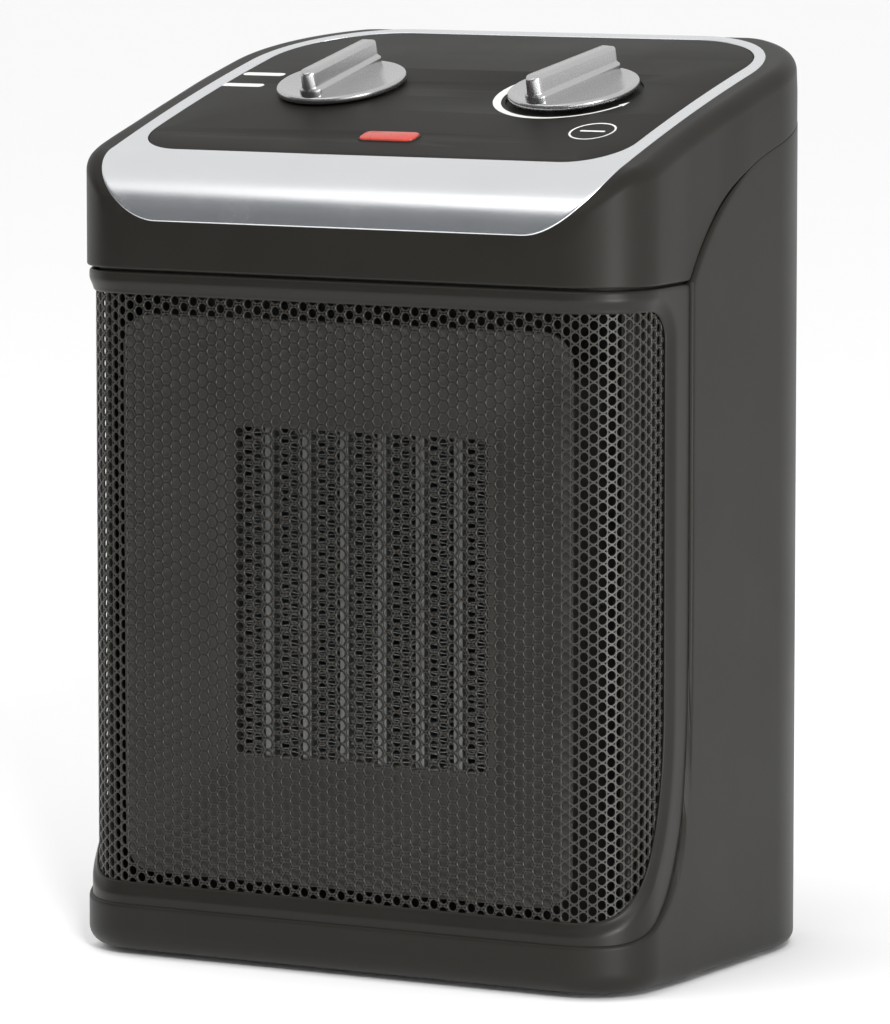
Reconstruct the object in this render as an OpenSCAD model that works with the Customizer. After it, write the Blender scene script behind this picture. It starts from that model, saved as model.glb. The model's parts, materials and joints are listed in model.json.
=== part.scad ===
// Compact free-standing ceramic fan heater.
// Front faces -Y, +X is to the right of someone facing the front, +Z is up, floor at Z = 0.

/* [Body] */
// Width of the body
body_w = 185; // [170:1:225]
// Depth of the body
body_d = 142; // [128:1:172]
// Height from the floor to the highest point of the head
body_h = 264.5; // [236:0.5:320]
// Plan radius of the two front corners
corner_front_r = 22; // [16:1:30]
// Plan radius of the two back corners
corner_back_r = 46; // [30:1:56]
// Wall of the outer mouldings
wall = 2.2; // [1.8:0.1:3]
// Height of the rubber feet under the base
foot_h = 1.5; // [1:0.1:4]
// Height of the base band's top edge, under the front bezel
band_top = 16; // [12:1:24]

/* [Head] */
// Tilt of the control panel from level
panel_tilt = 14.6; // [8:0.1:20]
// Radius of the roll from the front face into the panel
roll_r = 22; // [14:1:28]
// Radius of the head's back edge
back_edge_r = 8; // [5:1:12]
// Height of the upright front face between the seam and the roll
head_front_h = 13; // [9:1:20]
// Wall of the head under the trim and panel
head_wall = 2.8; // [2.4:0.1:4]
// Height of the groove between head and bezel
seam_gap = 0.6; // [0.2:0.1:1.2]

/* [Trim and panel] */
// Thickness of the bright trim
trim_t = 1.4; // [1:0.1:2]
// Distance from the body's side to the trim
trim_side_inset = 9; // [7:0.5:12]
// Distance from the body's back to the trim
trim_back_inset = 8.5; // [6:0.5:12]
// Angle from upright at which the trim's outline is projected onto the head
trim_view_tilt = 40; // [30:1:50]
// Height of the trim's front lower edge above the start of the roll
trim_front_rise = 1.4; // [0.5:0.1:5]
// Radius of the trim's front corners
trim_front_r = 24; // [16:1:28]
// Radius of the trim's back corners
trim_back_r = 36; // [20:1:44]
// Width of the trim beside and behind the panel
trim_ring_w = 4.7; // [3:0.1:8]
// Depth of the panel's face below the trim
panel_recess = 0.4; // [0.2:0.1:0.6]
// Radius of the panel's front corners
panel_front_r = 17; // [8:1:22]

/* [Knobs] */
// Distance between the two knobs
knob_pitch = 77; // [66:1:86]
// Distance of the knobs from the panel's front edge
knob_v = 57; // [44:1:64]
// Diameter of a knob's disc
knob_d = 37; // [30:1:42]
// Thickness of a knob's disc
knob_disc_t = 2.6; // [2:0.1:4]
// Height of the grip bar above the disc
knob_bar_h = 8; // [6:0.5:11]
// Width of the grip bar
knob_bar_w = 7.4; // [6:0.1:10]
// Diameter of the control shafts
shaft_d = 6; // [5:0.5:6]
// Diameter of the well around the thermostat knob
well_d = 40; // [38:1:46]

/* [Indicator] */
// Length of the red lens
lens_l = 18; // [12:1:24]
// Width of the red lens
lens_w = 6.5; // [5:0.5:9]
// Distance of the lens from the panel's front edge
lens_v = 13; // [9:1:18]

/* [Front] */
// Step back of the bezel behind the base band
bezel_inset = 1; // [0.8:0.1:2]
// Wall of the bezel
bezel_wall = 1.6; // [1.4:0.1:2.6]
// Distance of the side step line from the front face
step_depth = 41; // [34:1:50]
// Radius of the lower corner of the step line
step_corner_r = 24; // [12:1:30]
// Width of the bezel's rim round the grille
rim_w = 7; // [5:0.5:10]
// Thickness of the grille sheet
grille_t = 0.8; // [0.5:0.1:1.2]

/* [Heater] */
// Width of the finned heater core
core_w = 84; // [60:1:96]
// Height of the finned heater core
core_h = 96; // [70:1:112]
// Depth of the finned heater core
core_d = 13; // [10:1:18]
// Distance of the core's face behind the front face
core_setback = 16; // [14:1:20]
// Number of heating bars
bar_count = 6; // [4:1:7]
// Width of one heating bar
bar_w = 2.8; // [2:0.1:4]
// Pitch of the folded fins
fin_pitch = 3; // [2.4:0.1:5]
// Thickness of the fin sheet
fin_t = 0.3; // [0.2:0.05:0.5]

/* [Fan] */
// Diameter of the fan
fan_d = 94; // [70:1:100]
// Gap between the fan and its ring
tip_gap = 2.5; // [1.5:0.5:5]
// Number of blades
blade_count = 7; // [5:1:9]
// Pitch angle of the blades
blade_angle = 35; // [25:1:45]
// Diameter of the motor's shaft
motor_shaft_d = 3.2; // [3:0.1:4]
// Thickness of the motor's lamination stack
stack_t = 18; // [12:1:22]

/* [Back] */
// Distance of the air inlet from the back's rounded corners
inlet_side = 0.5; // [0:0.5:12]
// Height of the air inlet
inlet_h = 118; // [80:1:130]
// Pitch of the inlet slats
slat_pitch = 6.5; // [5:0.5:9]
// Bore of the cord inlet
cord_bore_d = 7.2; // [6:0.1:8]

/* [Hidden] */
$fn = 64;
eps = 0.01;
far = 400;
seat = 0.2;             // gap at a seated joint line
slip = 0.05;            // radial clearance of a running fit
press = 0.02;           // radial clearance of a pressed fit

// Side outline of the head, in (Y, Z)
half_w = body_w / 2;
half_d = body_d / 2;
back_c_y = half_d - back_edge_r;
back_c_z = body_h - back_edge_r;
roll_c_y = -half_d + roll_r;
roll_c_z = back_c_z - (roll_r - back_edge_r) * cos(panel_tilt)
    - tan(panel_tilt) * (back_c_y - roll_c_y + (roll_r - back_edge_r) * sin(panel_tilt));
seam_z = roll_c_z - head_front_h;
panel_y = roll_c_y - roll_r * sin(panel_tilt);      // where the flat panel begins
panel_z = roll_c_z + roll_r * cos(panel_tilt);
panel_len = (half_d - panel_y) / cos(panel_tilt) - trim_back_inset - trim_ring_w;
panel_half_w = half_w - trim_side_inset - trim_ring_w;
panel_back_r = trim_back_r - trim_ring_w;
knob_x = knob_pitch / 2;
trim_overlap = 3;       // how far the trim's prism reaches under its back edge
shaft_hole_r = shaft_d / 2 + 1.2;
lens_hole = [lens_l + 2 * seat, lens_w + 2 * seat];

// Controls, as heights above or below the panel's surface
knob_lift = 0.5;        // running gap under a knob
knob_top = knob_lift + knob_disc_t;
knob_draft = 0.5;       // how much the disc's edge leans in
knob_roof = 2;          // solid left over the shaft in the grip bar
knob_step_w = 1.5;      // shoulder on each side of the grip bar
knob_step_h = 0.35 * knob_bar_h;
switch_w = 30;
switch_t = 16;
tab_w = 4.8;            // flat spade terminals
tab_t = 0.8;
tab_pitch = 7;
stat_plate_w = 34;
stat_plate_d = 18;
stat_plate_t = 2;
stat_barrel_r = 6;
stat_barrel_h = 14;
lamp_r = 3;
lamp_l = 11;
lamp_n = -head_wall - 1 - lamp_r - 0.6;
lens_flange = 2;

// Step line between the wrapped housing and the front pieces, in (Y, Z)
step_y = -half_d + step_depth;
step_start_angle = 57;
step_arc_r = 80;
step_c_y = step_y + step_arc_r * sin(step_start_angle);
step_c_z = seam_z - step_arc_r * cos(step_start_angle);

// Window of the bezel and the centre line shared by core, fan and motor
window_corner_r = 14;
window_lo = band_top + rim_w - 1;
window_hi = seam_z - rim_w;
axis_z = (window_lo + window_hi) / 2;
window_back_y = step_y - rim_w - 3;
grille_inset = bezel_inset + bezel_wall + slip;

// Stations along Y for the air path, from front to back
core_y = -half_d + core_setback;
box_wall = 2;
box_front_y = core_y - box_wall;
box_in_w = core_w + 1;
box_in_h = core_h + 13;
box_top_z = axis_z + box_in_h / 2 + box_wall;
box_flange = 13;        // width of the flange round the heater box
flare = 19;             // how far the duct widens on each side
duct_t = 1.6;
duct_gap = 1.2;         // between the duct's mouth and the grille
flare_d = box_front_y - (-half_d + grille_inset + grille_t) - duct_gap;
column_count = bar_count + 1;
column_w = (core_w - bar_count * bar_w) / column_count;
cap_h = 6;
terminal = [6, 1, cap_h];
plate_y = step_y + 1;                               // front of the fan shroud's plate
plate_t = 2.5;
ring_r = fan_d / 2 + tip_gap;
ring_t = 2;
ring_back_y = plate_y + 22;
fan_mid_y = plate_y + 11;
hub_r = 14;
hub_wall = 2;
blade_chord = 26;
blade_t = 1.6;
blade_half_y = 9;       // half the depth that the blades sweep
strap_y = ring_back_y + 11;
strap_t = 1.5;
bracket_t = 2.5;
stack_y = strap_y + strap_t + bracket_t;
rear_bracket_y = stack_y + stack_t;
motor_shaft_r = motor_shaft_d / 2;
bearing_r = 3.6;
bracket_boss_r = 7;
stator_half_w = 26;
rotor_r = 11.6;
air_gap = 0.4;
motor_screw_x = 20;
motor_screw_r = 1.75;
m4_head_r = 3.4;
screw_r = 1.5;
screw_clear_r = 1.9;
strap_foot_x = 9;       // from the strap's leg to the screw in its foot
strap_leg_x = max(ring_r + ring_t + 2, box_in_w / 2 + box_flange + screw_r + 0.5 - strap_foot_x);
strap_half_z = 12;
strap_foot = 16;
bearing_l = 6;
front_boss_y = stack_y - 8;
rear_boss_end = rear_bracket_y + 9;
stator_low = 18;        // stack below the motor's axis
window_z = 17;          // bottom of the coil's window above the motor's axis
window_h = 17;
window_half_w = 15;
limb_h = 12;
coil_over = 11;         // how far the coil stands out round its limb

// Base
base_z = foot_h;
base_t = 2.4;
floor_z = base_z + base_t;                          // inside face of the base plate
boss_r = 4.6;
boss_x = half_w - wall - boss_r + 1;
boss_ys = [step_y + 12, step_y + 52];
foot_r = 7;
foot_pin_r = 2.5;
foot_x = half_w - 34;
foot_y = half_d - 24;
tip_x = 0.27 * body_w;
tip_y = 30;
tip_travel = 4;
tip_pin_r = 4;
tip_collar_r = 5.1;
tip_bore_r = 5.2;
tip_body = [18, 16, 22];

// Back
back_in_y = half_d - wall;
inlet_z = axis_z;
inlet_w = body_w - 2 * (corner_back_r + inlet_side);
gland_x = -0.16 * body_w;
gland_z = floor_z + 13;
gland_r = 6;
gland_rim = 2;
gland_l = 11;
slat_t = 2.4;
inlet_frame = 4;
inlet_corner_r = 8;
block_x = gland_x + 4;
block_y = back_in_y - 30;
block = [36, 14, 13];
wire_r = 1.1;
wire_lane_y = plate_y + plate_t + 34;
wire_lane_x = half_w - wall - 12;

// ---------- shared shapes ----------

// Rounded plan outline of the body, moved inwards
module plan(inset = 0) {
    w = half_w - inset;
    front = -half_d + inset;
    back = half_d - inset;
    rf = corner_front_r - inset;
    rb = corner_back_r - inset;
    translate([-w, front + rf]) square([2 * w, back - rb - front - rf]);
    translate([-w + rf, front]) square([2 * (w - rf), rf + 1]);
    translate([-w + rb, back - rb - 1]) square([2 * (w - rb), rb + 1]);
    for (side = [-1, 1]) {
        translate([side * (w - rf), front + rf]) circle(rf);
        translate([side * (w - rb), back - rb]) circle(rb);
    }
}

// Centred rectangle with round corners
module round_rect(w, h, r) {
    square([w - 2 * r, h], center = true);
    square([w, h - 2 * r], center = true);
    for (sx = [-1, 1], sy = [-1, 1])
        translate([sx * (w / 2 - r), sy * (h / 2 - r)]) circle(r);
}

// Outline from (-w, lo) to (w, hi) with its own front and back radii
module tab_outline(w, lo, hi, r_lo, r_hi) {
    translate([-w, lo + r_lo]) square([2 * w, hi - r_hi - lo - r_lo]);
    translate([-w + r_lo, lo]) square([2 * (w - r_lo), r_lo + 1]);
    translate([-w + r_hi, hi - r_hi - 1]) square([2 * (w - r_hi), r_hi + 1]);
    for (side = [-1, 1]) {
        translate([side * (w - r_lo), lo + r_lo]) circle(r_lo);
        translate([side * (w - r_hi), hi - r_hi]) circle(r_hi);
    }
}

// Turns a (Y, Z) outline into a bar across the whole width
module across(half = far / 2) {
    translate([-half, 0, 0]) rotate([90, 0, 90]) linear_extrude(2 * half) children();
}

// Turns an (X, Z) outline into a solid from y0 to y1
module along_y(y0, y1) {
    translate([0, y1, 0]) rotate([90, 0, 0]) linear_extrude(y1 - y0) children();
}

// A round bar along Y on the motor's axis
module axial(r, y0, y1, x = 0, z = 0) {
    translate([x, y1, axis_z + z]) rotate([90, 0, 0]) cylinder(r = r, h = y1 - y0);
}

// A box given by its two corners
module span(lo, hi) {
    translate(lo) cube(hi - lo);
}

// Frame of the sloping control panel: X across, Y up the slope, Z outwards
module on_panel(x = 0, v = 0, n = 0) {
    translate([0, panel_y, panel_z]) rotate([panel_tilt, 0, 0]) translate([x, v, n]) children();
}

// Points along an arc, from angle a to angle b
function arc(centre, r, a, b, steps) =
    [for (i = [0:steps]) let (t = a + (b - a) * i / steps) centre + r * [cos(t), sin(t)]];

// Side outline of the head, moved inwards
module head_side(inset) {
    square_on = 90 + panel_tilt;    // direction square to the panel
    polygon(concat([[-half_d + inset, 0]],
        arc([roll_c_y, roll_c_z], roll_r - inset, 180, square_on, 10),
        arc([back_c_y, back_c_z], back_edge_r - inset, square_on, 0, 6),
        [[half_d - inset, 0]]));
}

// The whole solid under the head's outer surface, moved inwards
module head_solid(inset, bottom) {
    intersection() {
        translate([0, 0, bottom]) linear_extrude(far) plan(inset);
        across() head_side(inset);
    }
}

// (Y, Z) region in front of the step line, below the seam
module front_zone(gap = 0) {
    r = step_corner_r - gap;
    top = seam_z - gap;
    difference() {
        translate([-far / 2, band_top + gap]) square([far / 2 + step_y - gap, top - band_top - gap]);
        translate([step_y - gap - r, band_top + gap]) square([r + 1, r]);
    }
    translate([step_y - gap - r, band_top + gap + r]) circle(r);
}

// (Y, Z) region above the seam and the step line
module head_zone(gap = 0) {
    reach = step_arc_r + gap;
    difference() {
        translate([-far / 2, seam_z + gap]) square([far, far]);
        translate([step_c_y, step_c_z]) circle(reach, $fn = 128);
        translate([step_c_y - reach * sin(panel_tilt), step_c_z + reach * cos(panel_tilt)])
            rotate(panel_tilt) translate([0, -far]) square([far, far]);
    }
}

// Solid beneath the trim's outline, seen from the tilted direction
module trim_prism() {
    c = cos(trim_view_tilt);
    s = sin(trim_view_tilt);
    edge_y = half_d - trim_back_inset;
    edge_z = panel_z + (edge_y - panel_y) * tan(panel_tilt);
    lo = -half_d * c + (roll_c_z + trim_front_rise) * s;
    hi = edge_y * c + edge_z * s;
    rotate([trim_view_tilt, 0, 0]) translate([0, 0, edge_z * c - edge_y * s - trim_overlap])
        linear_extrude(far)
            tab_outline(half_w - trim_side_inset, lo, hi, trim_front_r, trim_back_r);
}

module panel_outline(gap = 0) {
    tab_outline(panel_half_w - gap, gap, panel_len - gap, panel_front_r - gap, panel_back_r - gap);
}

// A screw along Z with a pan head; its head's seat is at Z = 0 and the thread points down
module screw(r, length, head_r, head_h) {
    translate([0, 0, -length]) cylinder(r = r, h = length + eps);
    cylinder(r = head_r, h = head_h);
}

// An eight-sided tube that follows a list of points, with mitred bends
module wire(points, r) {
    n = len(points);
    sides = 8;
    function unit(v) = v / norm(v);
    function turn(i) = unit((i > 0 ? unit(points[i] - points[i - 1]) : [0, 0, 0])
        + (i < n - 1 ? unit(points[i + 1] - points[i]) : [0, 0, 0]));
    ring = [for (i = [0:n - 1]) let (
            t = turn(i),
            side = unit(cross(t, [0.31, 0.87, 0.11])),
            up = cross(side, t))
        for (k = [0:sides - 1]) let (a = k * 360 / sides) points[i] + r * (cos(a) * side + sin(a) * up)];
    walls = [for (i = [0:n - 2], k = [0:sides - 1])
        let (a = i * sides, b = a + sides, next = (k + 1) % sides)
        [a + k, a + next, b + next, b + k]];
    ends = [[for (k = [sides - 1:-1:0]) k], [for (k = [0:sides - 1]) (n - 1) * sides + k]];
    polyhedron(ring, concat(walls, ends), 4);
}

// ---------- outer mouldings ----------

module rear_housing() color("#3a3835") {
    difference() {
        union() {
            difference() {
                head_solid(0, base_z);
                translate([0, 0, -eps]) head_solid(wall, 0);
            }
            for (sx = [-1, 1], y = boss_ys)
                translate([sx * boss_x, y, floor_z + seat]) cylinder(r = boss_r, h = 14);
        }
        across() front_zone();
        across() head_zone();
        for (sx = [-1, 1], y = boss_ys)
            translate([sx * boss_x, y, floor_z - 1]) cylinder(r = 1.6, h = 13);
        along_y(half_d - wall - 2, half_d + 2) translate([0, inlet_z])
            round_rect(inlet_w, inlet_h, inlet_corner_r);
        translate([gland_x, half_d + 1, gland_z]) rotate([90, 0, 0]) {
            cylinder(r = gland_r + seat, h = 6);
            cylinder(r = gland_r + gland_rim + seat, h = 2);
        }
    }
}

module base_plate() color("#2b2a29") difference() {
    translate([0, 0, base_z]) linear_extrude(base_t) plan(wall + seat);
    for (sx = [-1, 1], y = boss_ys) {
        translate([sx * boss_x, y, base_z - 1]) cylinder(r = screw_clear_r, h = base_t + 2);
        translate([sx * boss_x, y, base_z - 1]) cylinder(r = m4_head_r + seat, h = 2.2);
    }
    for (sx = [-1, 1], sy = [-1, 1])
        translate([sx * foot_x, sy * foot_y, base_z - 1]) cylinder(r = foot_pin_r + slip, h = base_t + 2);
    translate([tip_x, tip_y, base_z - 1]) cylinder(r = tip_pin_r + 0.1, h = base_t + 2);
}

module front_bezel() color("#2f2e2c") difference() {
    intersection() {
        difference() {
            translate([0, 0, band_top]) linear_extrude(far) plan(bezel_inset);
            linear_extrude(far) plan(bezel_inset + bezel_wall);
        }
        across() front_zone(seat);
        translate([-far / 2, -far / 2, 0]) cube([far, far, seam_z - seam_gap + seat]);
    }
    across() bezel_window();
}

// (Y, Z) outline of the window that the grille fills
module bezel_window() {
    r = window_corner_r;
    difference() {
        translate([-far / 2, window_lo]) square([far / 2 + window_back_y, window_hi - window_lo]);
        translate([window_back_y - r, window_lo - 1]) square([r + 1, r + 1]);
    }
    translate([window_back_y - r, window_lo + r]) circle(r);
}

module front_grille() color("#4a4946") intersection() {
    difference() {
        translate([0, 0, window_lo - 3]) linear_extrude(window_hi - window_lo + 6) plan(grille_inset);
        linear_extrude(far) plan(grille_inset + grille_t);
    }
    translate([-far / 2, -far / 2, 0]) cube([far, far / 2 + window_back_y + 3, far]);
}

module head_cap() color("#343230") difference() {
    intersection() {
        difference() {
            head_solid(0, seam_z);
            intersection() {
                translate([0, 0, -far / 2]) linear_extrude(far * 2) plan(wall);
                across() head_side(head_wall);
            }
        }
        across() head_zone(seat);
    }
    difference() {
        trim_prism();
        head_solid(trim_t + slip, 0);
    }
    for (sx = [-1, 1]) on_panel(sx * knob_x, knob_v, -head_wall - 2) cylinder(r = shaft_hole_r, h = 4);
    on_panel(0, lens_v, -head_wall - 2) linear_extrude(4) square(lens_hole, center = true);
}

module control_trim() color("#d4d6d8") difference() {
    intersection() {
        head_solid(0, seam_z);
        trim_prism();
    }
    head_solid(trim_t, 0);
    on_panel() translate([0, 0, -10]) linear_extrude(20) panel_outline();
}

module control_panel() color("#302f2d") difference() {
    on_panel(0, 0, -trim_t) linear_extrude(trim_t - panel_recess) panel_outline(0.1);
    on_panel(-knob_x, knob_v, -4) cylinder(r = shaft_hole_r, h = 8);
    on_panel(knob_x, knob_v, -4) cylinder(d = well_d, h = 8);
    on_panel(0, lens_v, -4) linear_extrude(8) square(lens_hole, center = true);
}

// ---------- controls ----------

module knob() {
    half = knob_bar_w / 2;
    foot = half + knob_step_w;
    edge = knob_d / 2;
    difference() {
        union() {
            translate([0, 0, knob_lift]) cylinder(d1 = knob_d, d2 = knob_d - 2 * knob_draft, h = knob_disc_t);
            intersection() {
                translate([0, 0, knob_top - eps]) cylinder(d = knob_d - 2 * knob_draft, h = knob_bar_h);
                union() {
                    span([-half, -edge, 0], [half, edge, knob_top + knob_bar_h]);
                    span([-foot, -edge, 0], [foot, edge, knob_top + knob_step_h]);
                }
            }
        }
        translate([0, 0, -1]) cylinder(d = shaft_d + 2 * press, h = knob_top + knob_bar_h - knob_roof + 1);
    }
}

// A shaft from inside its switch to inside its knob
module control_shaft() {
    bottom = -head_wall - 12;
    translate([0, 0, bottom]) cylinder(d = shaft_d, h = knob_top + knob_bar_h - knob_roof - 0.4 - bottom);
}

module selector_knob() color("#c9cbcd") on_panel(-knob_x, knob_v) knob();
module thermostat_knob() color("#c9cbcd") on_panel(knob_x, knob_v) knob();
module selector_shaft() color("#9a9ca0") on_panel(-knob_x, knob_v) control_shaft();
module thermostat_shaft() color("#9a9ca0") on_panel(knob_x, knob_v) control_shaft();

module selector_switch() color("#1f1f1f") on_panel(-knob_x, knob_v, -head_wall - slip) difference() {
    tab_l = 8;
    union() {
        span([-switch_w / 2, -switch_w / 2, -switch_t], [switch_w / 2, switch_w / 2, 0]);
        for (i = [-1:2])
            translate([i * tab_pitch - 5, -1, -switch_t - tab_l]) cube([tab_w, tab_t, tab_l + eps]);
    }
    translate([0, 0, -13]) cylinder(d = shaft_d + 2 * slip, h = 14);
}

module thermostat_body() color("#e3ddcf") on_panel(knob_x, knob_v, -head_wall - slip) difference() {
    union() {
        translate([0, 0, -stat_plate_t / 2]) cube([stat_plate_w, stat_plate_d, stat_plate_t], center = true);
        translate([0, 0, -stat_barrel_h]) cylinder(r = stat_barrel_r, h = stat_barrel_h - 1);
        span([-stat_plate_w / 2, -6, -20], [-stat_plate_w / 2 + 10, 6, -1]);
    }
    translate([0, 0, -stat_barrel_h - 1]) cylinder(d = shaft_d + 2 * slip, h = stat_barrel_h + 2);
}

// Two leaf springs held in the thermostat's block, with a contact between their ends
module thermostat_blades() color("#b08d57") on_panel(knob_x, knob_v, -head_wall - slip) {
    leaf = [30, 6, 0.5];
    for (z = [-19.2, -17]) translate([-7, -leaf[1] / 2, z]) cube(leaf);
    translate([20, 0, -19.2]) cylinder(r = 2, h = 2.3);
}

module indicator_lens() color("#c8452f") on_panel(0, lens_v) {
    translate([-lens_l / 2, -lens_w / 2, -head_wall - eps]) cube([lens_l, lens_w, head_wall + 0.8]);
    translate([-lens_l / 2 - lens_flange, -lens_w / 2 - lens_flange, -head_wall - 1])
        cube([lens_l + 2 * lens_flange, lens_w + 2 * lens_flange, 1]);
}

module indicator_lamp() color("#f2d8c0") on_panel(-7, lens_v, lamp_n) {
    rotate([0, 90, 0]) cylinder(r = lamp_r, h = lamp_l);
    translate([lamp_l, 0, 0]) sphere(lamp_r);
}

module lamp_holder() color("#55534f") on_panel(0, lens_v) difference() {
    rim = 1.5;
    low = lamp_n - lamp_r - 3;
    span([-lens_l / 2 - rim, -lens_w / 2 - rim, low], [lens_l / 2 + rim, lens_w / 2 + rim, -head_wall - 1]);
    span([-lens_l / 2 + 0.5, -lamp_r - slip, lamp_n - lamp_r - slip], [lens_l / 2 - 0.5, lamp_r + slip, 5]);
}

// ---------- air path ----------

// Rectangular frustum from the heater box to the grille
module duct_form(grow) {
    hull() {
        for (end = [[0, -eps], [flare, -flare_d]])
            translate([0, box_front_y + end[1], axis_z])
                cube([core_w + 2 * (end[0] + grow), 2 * eps, core_h + 2 * (end[0] + grow)], center = true);
    }
}

module air_duct() color("#4d4b47") {
    difference() {
        duct_form(1 + duct_t);
        duct_form(1);
        translate([0, box_front_y, axis_z]) cube([far, 2 * eps, far], center = true);
        translate([0, box_front_y - flare_d, axis_z])
            cube([core_w + 2 * flare + 2, 1, core_h + 2 * flare + 2], center = true);
    }
}

module heater_box() color("#23221f") {
    difference() {
        along_y(box_front_y, plate_y) translate([0, axis_z])
            square([box_in_w + 2 * box_wall, box_in_h + 2 * box_wall], center = true);
        along_y(core_y - 0.5, plate_y + 1) translate([0, axis_z]) square([box_in_w, box_in_h], center = true);
        along_y(box_front_y - 1, core_y) translate([0, axis_z])
            square([core_w - 0.5, core_h - 0.5], center = true);
    }
    // flange that screws to the fan shroud
    difference() {
        along_y(plate_y - 2, plate_y) translate([0, axis_z])
            round_rect(box_in_w + 2 * box_flange, box_in_h + 2 * box_flange, 5);
        along_y(plate_y - 3, plate_y + 1) translate([0, axis_z])
            square([box_in_w + 1, box_in_h + 1], center = true);
        shroud_screw_places() cylinder(r = screw_clear_r, h = 10, center = true);
    }
}

// The four screws at the heater box's flange, thread along +Y
module shroud_screw_places() {
    for (sx = [-1, 1], sz = [-1, 1])
        translate([sx * (core_w / 2 + 8.5), plate_y - 2, axis_z + sz * (core_h / 2 + box_flange)])
            rotate([90, 0, 0]) children();
}

// One folded fin column, in (X, Z), as a zigzag strip
module fin_column(x) {
    folds = floor((core_h - 2) / fin_pitch);
    z0 = axis_z - folds * fin_pitch / 2;
    across_t = fin_t * norm([fin_pitch, column_w]) / fin_pitch;
    lo = x + slip;
    hi = x + column_w - slip - across_t;
    up = [for (i = [0:folds]) [i % 2 == 0 ? lo : hi, z0 + i * fin_pitch]];
    down = [for (i = [folds:-1:0]) [(i % 2 == 0 ? lo : hi) + across_t, z0 + i * fin_pitch]];
    polygon(concat(up, down));
}

module heater_fins() color("#8f9093")
    for (i = [0:column_count - 1])
        along_y(core_y + 0.5, core_y + core_d - 0.5) fin_column(-core_w / 2 + i * (column_w + bar_w));

module heater_bars() color("#b9bbbe")
    for (i = [0:bar_count - 1]) {
        x = -core_w / 2 + column_w + i * (column_w + bar_w);
        span([x, core_y, axis_z - core_h / 2], [x + bar_w, core_y + core_d, axis_z + core_h / 2]);
    }

module heater_end_caps() color("#d9d2c3") for (sz = [-1, 1])
    difference() {
        translate([0, core_y + core_d / 2, axis_z + sz * (core_h / 2 + cap_h / 2 + slip)])
            cube([box_in_w - 2 * seat, core_d, cap_h], center = true);
        if (sz > 0) terminal_places()
            cube([terminal[0] + 2 * slip, terminal[1] + 2 * slip, cap_h + 2], center = true);
    }

// Every second bar carries a terminal through the upper end cap
module terminal_places() for (i = [1:2:bar_count - 1])
    translate([-core_w / 2 + column_w + i * (column_w + bar_w) + bar_w / 2,
        core_y + core_d / 2, axis_z + core_h / 2 + cap_h / 2]) children();

module heater_terminals() color("#c7a55a") terminal_places()
    translate([0, 0, 0.3]) cube(terminal, center = true);

module fan_shroud() color("#2d2c2a") difference() {
    union() {
        along_y(plate_y, plate_y + plate_t) translate([-half_w + wall + seat, floor_z + seat])
            square([body_w - 2 * wall - 2 * seat, seam_z - floor_z - 4]);
        axial(ring_r + ring_t, plate_y, ring_back_y);
    }
    axial(ring_r, plate_y - 1, ring_back_y + 1);
    for (sx = [-1, 1], y = boss_ys) translate([sx * boss_x, y, 0]) cylinder(r = boss_r + 1, h = 40);
    shroud_screw_places() cylinder(r = screw_r + 0.1, h = 20, center = true);
    strap_screw_places() cylinder(r = screw_r + 0.1, h = 20, center = true);
}

module fan_impeller() color("#e8e6df") difference() {
    union() {
        axial(hub_r, fan_mid_y - 8, fan_mid_y + 7);
        for (i = [0:blade_count - 1]) intersection() {
            axial(fan_d / 2, fan_mid_y - blade_half_y, fan_mid_y + blade_half_y);
            translate([0, fan_mid_y, axis_z]) rotate([0, i * 360 / blade_count, 0])
                translate([0, 0, hub_r - 3]) rotate([0, 0, blade_angle])
                    translate([-blade_chord / 2, -blade_t / 2, 0]) cube([blade_chord, blade_t, fan_d / 2]);
        }
    }
    axial(motor_shaft_r + press, fan_mid_y - 20, fan_mid_y + 20);
    axial(hub_r - hub_wall, fan_mid_y - 2, fan_mid_y + 20);
}

// ---------- motor ----------

// The two screws that hold the strap to the shroud, thread along -Y
module strap_screw_places() {
    for (sx = [-1, 1])
        translate([sx * (strap_leg_x + strap_foot_x), plate_y + plate_t + strap_t, axis_z])
            rotate([-90, 0, 0]) children();
}

// A bridge over the fan's ring: a cross strap, two legs and two feet on the shroud
module motor_mount() color("#a7a9ac") difference() {
    foot_y = plate_y + plate_t;
    lo = axis_z - strap_half_z;
    hi = axis_z + strap_half_z;
    union() {
        span([-strap_leg_x - strap_t, strap_y, lo], [strap_leg_x + strap_t, strap_y + strap_t, hi]);
        for (side = [0, 1]) mirror([side, 0, 0]) {
            span([strap_leg_x, foot_y, lo], [strap_leg_x + strap_t, strap_y + strap_t, hi]);
            span([strap_leg_x, foot_y, lo], [strap_leg_x + strap_foot, foot_y + strap_t, hi]);
        }
    }
    axial(bracket_boss_r + 0.5, strap_y - 5, strap_y + 5);
    for (sx = [-1, 1]) axial(motor_screw_r + 0.1, strap_y - 5, strap_y + 5, sx * motor_screw_x);
    strap_screw_places() cylinder(r = 2.1, h = 10, center = true);
}

module bracket(y0, boss_y0, boss_y1) {
    difference() {
        union() {
            along_y(y0, y0 + bracket_t) translate([0, axis_z]) round_rect(2 * motor_screw_x + 10, 14, 6);
            axial(bracket_boss_r, boss_y0, boss_y1);
        }
        axial(bearing_r + press, boss_y0 - 1, boss_y1 + 1);
        for (sx = [-1, 1]) axial(motor_screw_r + 0.1, y0 - 5, y0 + 8, sx * motor_screw_x);
    }
}

module front_bracket() color("#b4b6b9") bracket(stack_y - bracket_t, front_boss_y, stack_y);
module rear_bracket() color("#b4b6b9") bracket(rear_bracket_y, rear_bracket_y, rear_boss_end);

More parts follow.
